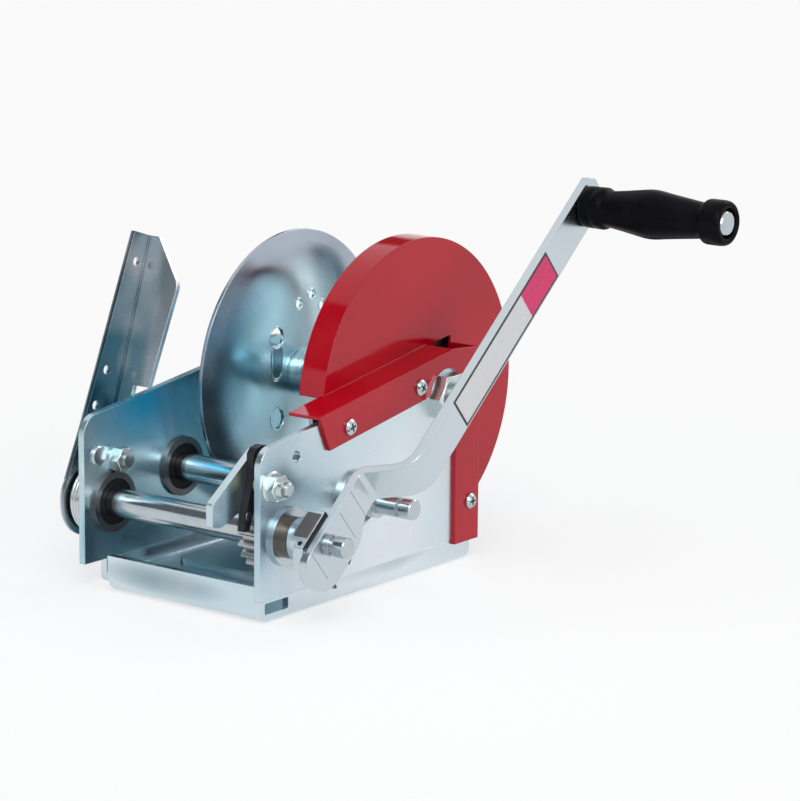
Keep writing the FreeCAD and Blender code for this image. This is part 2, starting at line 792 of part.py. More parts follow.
def guard():
    """Red guard of bent sheet: pan over the gear, shelf, bracket and rear leg."""
    body = new_body("gear_guard", *DRUM)
    face = f"( {INNER} - guard_inset )"
    inside = f"( {face} - guard_thick )"
    radius = "( guard_dia / 2 )"
    rim_left = f"( {face} - guard_rim_width )"
    revolve(body, [
        (inside, "0"),
        (face, "0"),
        (face, radius),
        (rim_left, radius),
        (rim_left, f"{radius} - guard_thick"),
        (inside, f"{radius} - guard_thick"),
    ])
    front = f"( {FRONT} + shelf_front - {DRUM_Y} )"
    end = "( rear_margin - shelf_rear )"
    rear = "( rear_margin + leg_overhang )"
    beyond = f"( {radius} + guard_rim_width )"
    pocket(body, "YZ", f"{face} + 1", "guard_rim_width + 2", [
        (f"-{beyond}", f"-{beyond}"),
        (beyond, f"-{beyond}"),
        (beyond, "-guard_low"),
        (f"{rear} - guard_thick", "-guard_low"),
        (f"{rear} - guard_thick", f"{shelf(rear)} - guard_thick"),
        (f"-{beyond}", f"{shelf('-' + beyond)} - guard_thick"),
    ])
    reach = f"( {OUTER} + bracket_thick - {inside} )"
    pad(body, "YZ", inside, reach, [
        (front, f"{shelf(front)} - guard_thick"),
        (end, f"{shelf(end)} - guard_thick"),
        (end, shelf(end)),
        (front, shelf(front)),
    ])
    pad(body, "YZ", inside, reach, [
        (f"{rear} - guard_thick", "-guard_low"),
        (rear, "-guard_low"),
        (rear, "leg_top"),
        (f"{rear} - guard_thick", "leg_top"),
    ])
    nose = f"( {front} + bracket_nose )"
    leg = f"( {rear} - leg_width )"
    foot = f"( leg_foot_z - {DRUM_Z} )"
    holes = [(f"{y} - {DRUM_Y}", f"{z} - {DRUM_Z}", "screw_dia / 2") for y, z in SCREWS]
    pad(body, "YZ", OUTER, "bracket_thick", [
        (front, shelf(front)),
        (nose, f"{shelf(nose)} - bracket_front_drop"),
        (leg, f"{shelf(leg)} - bracket_mid_drop"),
        (leg, foot),
        (rear, foot),
        (rear, "leg_top"),
        (end, shelf(end)),
    ], holes)
    pocket(body, "YZ", f"{OUTER} + bracket_thick + 1", "bracket_thick + 2",
           circles=[("0", "0", "axle_arch_dia / 2")])
    head = f"( {OUTER} + bracket_thick )"
    tip = f"( {head} + screw_head_thick )"
    for i, (y, z) in enumerate(SCREWS, start=1):
        screw = new_body(f"guard_screw_{i}", y, z)
        revolve(screw, [
            (f"{INNER} - screw_end", "0"),
            (tip, "0"),
            (tip, "screw_head_dia / 2 - screw_chamfer"),
            (f"{tip} - screw_chamfer", "screw_head_dia / 2"),
            (head, "screw_head_dia / 2"),
            (head, "screw_dia / 2"),
            (f"{INNER} - screw_end", "screw_dia / 2"),
        ])


def crank():
    """Flat crank arm with a wide foot, a flap, a sharp joggle, its hub and latch."""
    arm = new_body("crank_arm", *FIRST, tilt="crank_angle")
    shift = "( crank_thick * tan( atan( joggle_offset / ( joggle_end - foot_reach ) ) / 2 ) )"
    end = "( crank_throw + arm_overhang )"
    side = "( crank_width / 2 )"
    pad(arm, "XY", f"-{side}", "crank_width", [
        (FOOT, "0"),
        (f"{FOOT} + crank_thick", "0"),
        (f"{FOOT} + crank_thick", f"foot_reach - {shift}", "joggle_foot_round"),
        (f"{ARM} + crank_thick", f"joggle_end - {shift}", "joggle_arm_round + crank_thick"),
        (f"{ARM} + crank_thick", end),
        (ARM, end),
        (ARM, "joggle_end", "joggle_arm_round"),
        (FOOT, "foot_reach", "joggle_foot_round + crank_thick"),
    ])
    pad(arm, "YZ", FOOT, "crank_thick", [
        ("foot_end", side),
        ("-foot_back", side, "foot_round"),
        ("-foot_back", "-foot_low", "foot_low_round"),
        ("foot_shoulder", "-foot_low", "foot_round"),
        ("foot_end", f"-{side}"),
    ])
    pad(arm, "YZ", f"{FOOT} - flap_width", "flap_width + crank_thick", [
        ("-flap_back", f"{side} - flap_thick"),
        ("flap_front", f"{side} - flap_thick"),
        ("flap_front", side),
        ("-flap_back", side),
    ])
    for turn in (-1, 1):
        pocket(arm, "YZ", f"{ARM} + crank_thick + 1", "crank_thick + 2", [
            (f"{end} - arm_chamfer", f"{turn} * ( {side} + 1 )"),
            (f"{end} + 1", f"{turn} * ( {side} + 1 )"),
            (f"{end} + 1", f"{turn} * ( {side} - arm_chamfer )"),
        ])
    pocket(arm, "YZ", f"{FOOT} + crank_thick + 1", "crank_thick + 2",
           circles=[("0", "0", "shaft_tip_dia / 2")])
    pocket(arm, "YZ", f"{ARM} + crank_thick + 1", "crank_thick + 2",
           circles=[("crank_throw", "0", "grip_pin_dia / 2")])
    hub = new_body("crank_hub", *FIRST)
    hub_left = f"( {OUTER} + bronze_reach + hub_gap )"
    shoulder = f"( {REACH} - tip_length )"
    revolve(hub, [
        (hub_left, SHAFT_R),
        (shoulder, SHAFT_R),
        (shoulder, "shaft_tip_dia / 2"),
        (FOOT, "shaft_tip_dia / 2"),
        (FOOT, "hub_neck_dia / 2"),
        (f"{hub_left} + hub_thick", "hub_neck_dia / 2"),
        (f"{hub_left} + hub_thick", "hub_dia / 2"),
        (hub_left, "hub_dia / 2"),
    ])
    latch = new_body("latch_lever", *FIRST, tilt="crank_angle")
    outside = f"( {side} + latch_thick )"
    down, across = "sin( crank_angle * 1deg )", "cos( crank_angle * 1deg )"
    tongue = (f"-latch_back - latch_tongue * {down}", f"{outside} - latch_tongue * {across}")
    pad(latch, "YZ", f"{FOOT} - latch_gap - latch_width", "latch_width", [
        ("latch_front", side),
        ("latch_front", outside),
        ("-latch_back", outside),
        tongue,
        (f"{tongue[0]} + latch_thick * {across}", f"{tongue[1]} - latch_thick * {down}"),
        ("-latch_back + latch_thick * 0.7", side),
    ])


def grip():
    """Turned grip on its pin."""
    place = (f"{FIRST_Y} + crank_throw * cos( crank_angle * 1deg )",
             "first_shaft_z + crank_throw * sin( crank_angle * 1deg )")
    start = f"( {ARM} + crank_thick + end_gap )"
    bore = "( grip_pin_dia / 2 + running_gap )"
    end = f"( {start} + grip_length )"
    seat = f"( {end} - pin_head_thick - pin_head_gap )"
    waist = f"( {end} - grip_end_length - grip_taper )"
    handle = new_body("crank_grip", *place)
    revolve(handle, [
        (start, bore),
        (seat, bore),
        (seat, "pin_head_dia / 2 + pin_head_gap"),
        (end, "pin_head_dia / 2 + pin_head_gap"),
        (end, "grip_end_dia / 2 - grip_round"),
        (f"{end} - grip_round", "grip_end_dia / 2"),
        (f"{end} - grip_end_length", "grip_end_dia / 2"),
        (waist, "grip_waist_dia / 2"),
        (f"{start} + grip_belly_place + grip_belly_length / 2", "grip_belly_dia / 2"),
        (f"{start} + grip_belly_place - grip_belly_length / 2", "grip_belly_dia / 2"),
        (f"{start} + grip_collar_length + grip_taper", "grip_waist_dia / 2"),
        (f"{start} + grip_collar_length", "grip_collar_dia / 2"),
        (f"{start} + grip_round", "grip_collar_dia / 2"),
        (start, "grip_collar_dia / 2 - grip_round"),
    ])
    pin = new_body("grip_pin", *place)
    head = f"( {seat} + end_gap )"
    revolve(pin, [
        (ARM, "0"),
        (f"{head} + pin_head_thick", "0"),
        (f"{head} + pin_head_thick", "pin_head_dia / 2 - rivet_chamfer"),
        (f"{head} + pin_head_thick - rivet_chamfer", "pin_head_dia / 2"),
        (head, "pin_head_dia / 2"),
        (head, "grip_pin_dia / 2"),
        (ARM, "grip_pin_dia / 2"),
    ])


def brake_lever():
    """L-section lever turning on the first shaft outside the left plate."""
    lever = new_body("brake_lever", *FIRST, tilt="-lever_lean")
    pad(lever, "YZ", LEVER_X, "lever_thick", [
        ("-lever_top_back", "lever_top"),
        ("-lever_waist", "lever_waist_z"),
        ("-lever_end_radius * 0.98", "lever_heel"),
        ("0", "0"),
        ("lever_fold", "lever_foot"),
        ("lever_fold", "lever_top"),
    ])
    pad(lever, "YZ", LEVER_X, "lever_thick", circles=[("0", "0", "lever_end_radius")])
    pocket(lever, "YZ", f"{LEVER_X} + lever_thick + 1", "lever_thick + 2", circles=[
        ("0", "0", f"{SHAFT_R} + running_gap"),
        ("-lever_fold * 0.2", "lever_high_hole", "lever_hole_dia / 2"),
        ("-lever_fold", "lever_middle_hole", "lever_hole_dia / 2"),
        ("-lever_fold * 1.4", "lever_low_hole", "lever_hole_dia / 2"),
    ])
    pad(lever, "XZ", "-lever_fold", "lever_thick", [
        (LEVER_X, "lever_flange_start"),
        (f"{LEVER_X} + lever_thick", "lever_flange_start"),
        (f"{LEVER_X} + lever_flange_skirt", "lever_flange_bend"),
        (f"{LEVER_X} + lever_flange_skirt", "lever_flange_low"),
        (f"{LEVER_X} + lever_flange_step", "lever_flange_low"),
        (f"{LEVER_X} + lever_flange_reach", "lever_flange_tip", "lever_fold"),
        (f"{LEVER_X} + lever_flange_top", "lever_top"),
        (LEVER_X, "lever_top"),
    ])


def lever_spring():
    """Flat wrap spring wound round the first shaft beside the left plate."""
    spring = new_body("lever_spring", *FIRST)
    sketch = new_sketch(spring, "XZ")
    left = f"( -{OUTER} - spring_pitch * spring_turns - spring_wire_axial )"
    low = "( spring_dia / 2 - spring_wire_radial )"
    add_outline(sketch, [
        (left, low),
        (f"{left} + spring_wire_axial", low),
        (f"{left} + spring_wire_axial", "spring_dia / 2"),
        (left, "spring_dia / 2"),
    ])
    coil = spring.newObject("PartDesign::AdditiveHelix", "lever_spring_coil")
    coil.Profile = sketch
    coil.ReferenceAxis = (sketch, ["H_Axis"])
    coil.Mode = 1
    bind(coil, Pitch="spring_pitch", Turns="spring_turns")
    spring.Tip = coil


def scaled(corners, factor):
    """Corners and radii multiplied by a factor."""
    return [tuple(f"( {value} ) * {factor}" for value in corner) for corner in corners]


def pawl():
    """Pawl with its thumb plate, turning on a bolt through the right plate."""
    bolt_r = "( pawl_bolt_dia / 2 )"
    bore = [("0", "0", f"{bolt_r} + running_gap")]
    left = f"( {INNER} - pawl_inset )"
    right = f"( {left} + pawl_thick )"
    thumb_left = f"( {left} - thumb_thick )"
    body = new_body("pawl", *PAWL_BOLT)
    pad(body, "YZ", left, "pawl_thick", scaled([
        ("-0.55", "-1"),
        ("-0.38", "-1"),
        ("-0.24", "-0.62"),
        ("0.28", "-0.31", "0.17"),
        ("0.41", "0.34", "0.28"),
        ("0.17", "0.9", "0.17"),
        ("-0.48", "0.83", "0.28"),
    ], "pawl_drop"), bore + [("-pawl_rivet_ahead", "-pawl_rivet_below", "pawl_rivet_dia / 2")])
    rod("pawl_rivet", f"{PAWL_BOLT[0]} - pawl_rivet_ahead", f"{PAWL_BOLT[1]} - pawl_rivet_below",
        thumb_left, f"{right} + end_gap", "pawl_rivet_dia / 2")
    thumb = new_body("pawl_thumb_plate", *PAWL_BOLT)
    pad(thumb, "YZ", thumb_left, "thumb_thick", scaled([
        ("-1", "-0.54", "0.05"),
        ("-0.8", "-0.58", "0.05"),
        ("-0.1", "-0.32"),
        ("0.22", "-0.2", "0.1"),
        ("0.22", "0.54"),
        ("0.05", "0.56"),
        ("-1", "-0.17", "0.05"),
    ], "thumb_reach"), bore)
    ring("pawl_spacer", *PAWL_BOLT, f"{right} + end_gap", INNER, "pawl_spacer_dia / 2", bolt_r)
    bolt = new_body("pawl_bolt", *PAWL_BOLT)
    head = f"( {thumb_left} - end_gap )"
    end = f"( {OUTER} + hex_thick + bolt_end )"
    revolve(bolt, [
        (f"{head} - bolt_head_thick", "0"),
        (end, "0"),
        (end, f"{bolt_r} - rivet_chamfer"),
        (f"{end} - rivet_chamfer", bolt_r),
        (head, bolt_r),
        (head, "bolt_head_dia / 2"),
        (f"{head} - bolt_head_thick", "bolt_head_dia / 2"),
    ])
    nut = new_body("pawl_bolt_nut", *PAWL_BOLT)
    pad(nut, "YZ", OUTER, "hex_thick", hexagon("hex_across"), [("0", "0", bolt_r)])


def left_fasteners():
    """Bolt with washer and nut, and a rivet, in the left plate."""
    radius = "( stop_bolt_dia / 2 )"
    washer_right = f"( -{INNER} + washer_thick )"
    bolt = new_body("stop_bolt", *STOP_BOLT)
    pad(bolt, "YZ", f"-{OUTER} - hex_head_thick", "hex_head_thick", hexagon("hex_across"))
    pad(bolt, "YZ", f"-{OUTER}", f"{washer_right} + hex_thick + stop_bolt_end + {OUTER}",
        circles=[("0", "0", radius)])
    ring("stop_bolt_washer", *STOP_BOLT, f"-{INNER}", washer_right, "washer_dia / 2", radius)
    nut = new_body("stop_bolt_nut", *STOP_BOLT)
    pad(nut, "YZ", washer_right, "hex_thick", hexagon("hex_across"), [("0", "0", radius)])
    rivet = new_body("plate_rivet", *RIVET)
    left = f"( -{OUTER} - rivet_head_thick )"
    right = f"( -{INNER} + rivet_head_thick )"
    revolve(rivet, [
        (left, "0"),
        (right, "0"),
        (right, "rivet_head_dia / 2 - rivet_chamfer"),
        (f"{right} - rivet_chamfer", "rivet_head_dia / 2"),
        (f"-{INNER}", "rivet_head_dia / 2"),
        (f"-{INNER}", "rivet_dia / 2"),
        (f"-{OUTER}", "rivet_dia / 2"),
        (f"-{OUTER}", "rivet_head_dia / 2"),
        (f"{left} + rivet_chamfer", "rivet_head_dia / 2"),
        (left, "rivet_head_dia / 2 - rivet_chamfer"),
    ])


base()
side_plate("left_side_plate", f"-{OUTER}", [
    (*STOP_BOLT, "stop_bolt_dia / 2"),
    (*RIVET, "rivet_dia / 2"),
])
side_plate("right_side_plate", INNER, [
    (*PAWL_BOLT, "pawl_bolt_dia / 2"),
    (f"{FIRST_Y} + plate_hole_back", "first_shaft_z + plate_hole_above", "plate_hole_dia / 2"),
    (f"{SECOND_Y} - drain_hole_ahead", f"{SECOND_Z} - drain_hole_below", "drain_hole_dia / 2"),
] + [(y, z, "screw_dia / 2") for y, z in SCREWS])
for name, place in (("first", FIRST), ("second", SECOND)):
    inner_bush(f"{name}_bush_left", place)
    outer_bush(name, place)
shaft("first_shaft", FIRST, f"( {LEVER_X} - shaft_out_left )")
ring("first_shaft_ring", *FIRST, f"{LEVER_X} - end_gap - shaft_ring_thick", f"{LEVER_X} - end_gap",
     "shaft_ring_dia / 2", SHAFT_R)
shaft("second_shaft", SECOND, f"( -{OUTER} - second_shaft_out )")
fast_pair()
slow_pair()
drum()
guard()
crank()
grip()
brake_lever()
lever_spring()
pawl()
left_fasteners()

doc.recompute()
for item in doc.Objects:
    if "Invalid" in item.State or "Error" in item.State:
        raise RuntimeError(f"{item.Name} did not build")
for node in nodes:
    if node.Shape.isNull() or not node.Shape.isValid():
        raise RuntimeError(f"{node.Label} has no valid shape")

os.makedirs("parts", exist_ok=True)
for node in nodes:
    node.Shape.exportStep(f"parts/{node.Label}.step")
print(len(nodes), "pieces written")
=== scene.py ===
"""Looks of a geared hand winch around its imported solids.

The solids keep their places and shapes.  This scene gives each of them its finish,
adds the small forms that only the eye needs, and sets the studio and the camera.
All lengths are in metres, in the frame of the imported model.
"""

from __future__ import annotations

import logging
import math
from dataclasses import dataclass
from enum import Enum
from typing import Iterable, Sequence

import bmesh
import bpy
from mathutils import Matrix, Vector

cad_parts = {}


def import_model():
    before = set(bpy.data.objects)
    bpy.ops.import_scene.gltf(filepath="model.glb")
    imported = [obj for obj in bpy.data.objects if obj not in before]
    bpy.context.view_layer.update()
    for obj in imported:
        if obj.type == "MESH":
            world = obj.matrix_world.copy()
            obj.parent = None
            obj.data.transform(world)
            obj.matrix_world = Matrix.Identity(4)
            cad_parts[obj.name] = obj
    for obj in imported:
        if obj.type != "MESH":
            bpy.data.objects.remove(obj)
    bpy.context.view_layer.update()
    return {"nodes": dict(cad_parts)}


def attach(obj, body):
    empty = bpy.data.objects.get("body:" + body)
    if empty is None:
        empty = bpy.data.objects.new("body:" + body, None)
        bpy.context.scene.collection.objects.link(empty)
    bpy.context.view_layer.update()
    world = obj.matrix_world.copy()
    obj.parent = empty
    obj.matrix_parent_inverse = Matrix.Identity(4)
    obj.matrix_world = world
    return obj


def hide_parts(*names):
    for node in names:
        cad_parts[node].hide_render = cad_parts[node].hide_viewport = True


LOG = logging.getLogger("winch")

Colour = tuple[float, float, float]
Point = tuple[float, float, float]
Centre = tuple[float, float]

# The axes along X that pieces sit on, each as (y, z)
DRUM_AXIS: Centre = (0.084669, 0.1216)
FIRST_AXIS: Centre = (-0.086669, 0.0545)
SECOND_AXIS: Centre = (-0.015186, 0.0666)
PAWL_AXIS: Centre = (-0.102969, 0.091)
STOP_AXIS: Centre = (-0.083669, 0.0845)
GRIP_AXIS: Centre = (0.14858, 0.2533)

# How far the crank arm leans back from level, seen from the right
ARM_ANGLE = math.radians(40.2)

# Distance of both side plates' outer faces from the middle
PLATE_OUT = 0.0795


class Body(Enum):
    """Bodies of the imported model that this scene's pieces ride on."""

    FRAME = "frame"
    DRUM = "drum"
    CRANK = "first_shaft_and_crank"
    GRIP = "grip"
    PAWL = "pawl_with_thumb_plate"


class Slot(Enum):
    """Material slots of the record that this scene's pieces belong to."""

    ZINC = "zinc_plate"
    STEEL = "bright_steel"
    RED = "red_paint"
    PLASTIC = "black_plastic"
    BLACK = "black_steel"


class Maths:
    """A shader socket that takes part in Python expressions."""

    def __init__(self, graph: "Graph", socket: bpy.types.NodeSocket) -> None:
        """Keep the socket and the graph it belongs to."""
        self.graph = graph
        self.socket = socket

    def _join(self, operation: str, first: object, second: object) -> "Maths":
        """Add a Math node for one operation on two values."""
        return self.graph.node("ShaderNodeMath", {"operation": operation}, {0: first, 1: second})

    def __add__(self, other: object) -> "Maths":
        """The sum of this value and another."""
        return self._join("ADD", self, other)

    def __sub__(self, other: object) -> "Maths":
        """This value less another."""
        return self._join("SUBTRACT", self, other)

    def __rsub__(self, other: object) -> "Maths":
        """Another value less this one."""
        return self._join("SUBTRACT", other, self)

    def __mul__(self, other: object) -> "Maths":
        """The product of this value and another."""
        return self._join("MULTIPLY", self, other)

    __radd__ = __add__
    __rmul__ = __mul__

    def clamp(self) -> "Maths":
        """This value held between nought and one."""
        return self.graph.node("ShaderNodeClamp", {}, {"Value": self})


class Graph:
    """The node tree of one material or of the world."""

    def __init__(self, owner: bpy.types.Material | bpy.types.World) -> None:
        """Empty the owner's node tree.

        Args:
            owner: The material or world that the nodes belong to.
        """
        owner.use_nodes = True
        self.owner = owner
        self.tree = owner.node_tree
        self.tree.nodes.clear()

    @classmethod
    def material(cls, name: str) -> "Graph":
        """The empty tree of a new material."""
        return cls(bpy.data.materials.new(name))

    def node(self, kind: str, settings: dict, inputs: dict, output: object = 0) -> Maths | None:
        """Add a node, set it up and connect it.

        Args:
            kind: Blender's name of the node's type.
            settings: Properties of the node, set before its sockets.
            inputs: Values or links by socket name or index.
            output: Name or index of the socket that stands for the node.

        Returns:
            The chosen output socket, or nothing for a node that has none.
        """
        made = self.tree.nodes.new(kind)
        for key, value in settings.items():
            setattr(made, key, value)
        for key, value in inputs.items():
            if isinstance(value, Maths):
                self.tree.links.new(value.socket, made.inputs[key])
            else:
                made.inputs[key].default_value = value
        return Maths(self, made.outputs[output]) if len(made.outputs) else None

    def place(self) -> Maths:
        """The point's place in the object's own frame."""
        return self.node("ShaderNodeTexCoord", {}, {}, "Object")

    def noise(self, scale: float, detail: float = 3.0, vector: Maths | None = None) -> Maths:
        """A cloudy value around one half.

        Args:
            scale: How many clouds fit in a metre.
            detail: How many finer layers are added.
            vector: Where to read it; the object's own frame if left out.

        Returns:
            The noise value.
        """
        inputs = {"Vector": vector or self.place(), "Scale": scale, "Detail": detail}
        return self.node("ShaderNodeTexNoise", {}, inputs, 0)

    def stretched(self, scale: Point) -> Maths:
        """The object's own frame, stretched along its axes."""
        return self.node("ShaderNodeMapping", {"vector_type": "POINT"},
                         {"Vector": self.place(), "Scale": scale})

    def spread(self, value: Maths, low: float, high: float, out_low: float,
               out_high: float) -> Maths:
        """Move a value from one range to another and hold it there."""
        inputs = {"Value": value, "From Min": low, "From Max": high,
                  "To Min": out_low, "To Max": out_high}
        return self.node("ShaderNodeMapRange", {"clamp": True}, inputs)

    def blend(self, mask: object, first: object, second: object) -> Maths:
        """A colour that goes from the first to the second as the mask rises."""
        return self.node("ShaderNodeMix", {"data_type": "RGBA"}, {0: mask, 6: first, 7: second}, 2)

    def vector(self, operation: str, *values: object, output: object = 0) -> Maths:
        """One Vector Math operation on the values."""
        return self.node("ShaderNodeVectorMath", {"operation": operation},
                         dict(enumerate(values)), output)

    def near(self, patch: "Patch") -> Maths:
        """How strongly a point lies in a patch, with an uneven edge.

        Args:
            patch: The patch.

        Returns:
            Its share inside, falling to nought outside.
        """
        offset = self.vector("SUBTRACT", self.place(), patch.centre)
        inside = self.vector("DIVIDE", offset, patch.reach)
        reach = self.vector("LENGTH", inside, output="Value")
        uneven = reach + self.noise(11.0, 1.0) * 0.5
        return self.spread(uneven, *patch.edge, patch.share, 0.0)

    def worn_edge(self, radius: float) -> Maths:
        """A normal that rounds the edges for the light."""
        return self.node("ShaderNodeBevel", {"samples": 4}, {"Radius": radius})

    def bump(self, height: Maths, strength: float, distance: float, normal: Maths) -> Maths:
        """A normal that follows a height on top of another normal."""
        inputs = {"Height": height, "Strength": strength, "Distance": distance, "Normal": normal}
        return self.node("ShaderNodeBump", {}, inputs)

    def finish(self, **sockets: object) -> bpy.types.Material:
        """Add the shader and the output.

        Args:
            **sockets: Inputs of the shader, with an underscore for a space.

        Returns:
            The finished material.
        """
        inputs = {name.replace("_", " "): value for name, value in sockets.items()}
        shader = self.node("ShaderNodeBsdfPrincipled", {}, inputs)
        self.node("ShaderNodeOutputMaterial", {}, {"Surface": shader})
        return self.owner


def opaque(colour: Colour) -> tuple[float, float, float, float]:
    """A colour with full cover."""
    return (*colour, 1.0)


@dataclass(frozen=True)
class Patch:
    """A soft patch of another colour round a point of the winch, where light or shade is painted.
    """

    centre: Point
    reach: Point
    colour: Colour
    share: float = 1.0
    edge: tuple[float, float] = (0.55, 1.6)


@dataclass(frozen=True)
class Plated:
    """Zinc plating: satin metal with soft clouds of blue, faint stains, rolling marks and soft
    patches of painted light and shade.
    """

    name: str
    base: Colour = (0.72, 0.79, 0.83)
    cloud: Colour = (0.54, 0.67, 0.74)
    stain: Colour = (0.74, 0.70, 0.70)
    rough: float = 0.27
    grain: Point = (1.0, 1.0, 1.0)
    patches: tuple[Patch, ...] = ()

    def make(self) -> bpy.types.Material:
        """Build the material.

        Returns:
            The finished material.
        """
        graph = Graph.material(self.name)
        clouds = graph.spread(graph.noise(6.0, 1.0), 0.38, 0.68, 0.0, 1.0)
        stains = graph.spread(graph.noise(15.0, 2.0), 0.55, 0.85, 0.0, 0.55)
        colour = graph.blend(clouds, opaque(self.base), opaque(self.cloud))
        for patch in self.patches:
            colour = graph.blend(graph.near(patch), colour, opaque(patch.colour))
        colour = graph.blend(stains, colour, opaque(self.stain))
        marks = graph.noise(36.0, 0.0, graph.stretched(self.grain))
        rough = graph.spread(marks, 0.3, 0.7, self.rough - 0.04, self.rough + 0.06)
        return graph.finish(
            Base_Color=colour,
            Metallic=1.0,
            Roughness=rough,
            Normal=graph.bump(marks, 0.02, 0.0005, graph.worn_edge(0.0008)),
        )


@dataclass(frozen=True)
class BareMetal:
    """Turned or rolled metal with fine rings round the X axis."""

    name: str
    base: Colour
    dirt: Colour
    rough: float = 0.16
    dirt_share: float = 0.5

    def make(self) -> bpy.types.Material:
        """Build the material.

        Returns:
            The finished material.
        """
        graph = Graph.material(self.name)
        rings = graph.noise(40.0, 3.0, graph.stretched((40.0, 0.3, 0.3)))
        smears = graph.spread(graph.noise(38.0, 3.0), 0.45, 0.8, 0.0, self.dirt_share)
        colour = graph.blend(smears, opaque(self.base), opaque(self.dirt))
        return graph.finish(
            Base_Color=colour,
            Metallic=1.0,
            Roughness=graph.spread(rings, 0.3, 0.7, self.rough - 0.03, self.rough + 0.08),
            Normal=graph.bump(rings, 0.04, 0.0002, graph.worn_edge(0.0004)),
        )


@dataclass(frozen=True)
class Gloss:
    """Thick gloss paint with a little orange peel and softly rounded edges."""

    name: str
    base: Colour
    shade: Colour
    rough: float = 0.10

    def make(self) -> bpy.types.Material:
        """Build the material.

        Returns:
            The finished material.
        """
        graph = Graph.material(self.name)
        clouds = graph.spread(graph.noise(12.0, 2.0), 0.35, 0.7, 0.0, 1.0)
        haze = graph.noise(40.0, 3.0)
        peel = graph.noise(190.0, 2.0)
        return graph.finish(
            Base_Color=graph.blend(clouds, opaque(self.base), opaque(self.shade)),
            Specular_IOR_Level=0.42,
            Specular_Tint=(0.70, 0.84, 1.0, 1.0),
            Roughness=graph.spread(haze, 0.3, 0.7, self.rough - 0.03, self.rough + 0.05),
            Normal=graph.bump(peel, 0.03, 0.0004, graph.worn_edge(0.0009)),
        )


@dataclass(frozen=True)
class Moulded:
    """Moulded plastic or dark steel with a fine grain."""

    name: str
    base: Colour
    worn: Colour
    rough: float = 0.42
    metallic: float = 0.0
    gleam: float = 0.5

    def make(self) -> bpy.types.Material:
        """Build the material.

        Returns:
            The finished material.
        """
        graph = Graph.material(self.name)
        wear = graph.spread(graph.noise(45.0, 4.0), 0.5, 0.8, 0.0, 1.0)
        grain = graph.noise(900.0, 2.0)
        return graph.finish(
            Base_Color=graph.blend(wear, opaque(self.base), opaque(self.worn)),
            Metallic=self.metallic,
            Specular_IOR_Level=self.gleam,
            Roughness=graph.spread(grain, 0.3, 0.7, self.rough - 0.05, self.rough + 0.05),
            Normal=graph.bump(grain, 0.05, 0.0002, graph.worn_edge(0.0005)),
        )


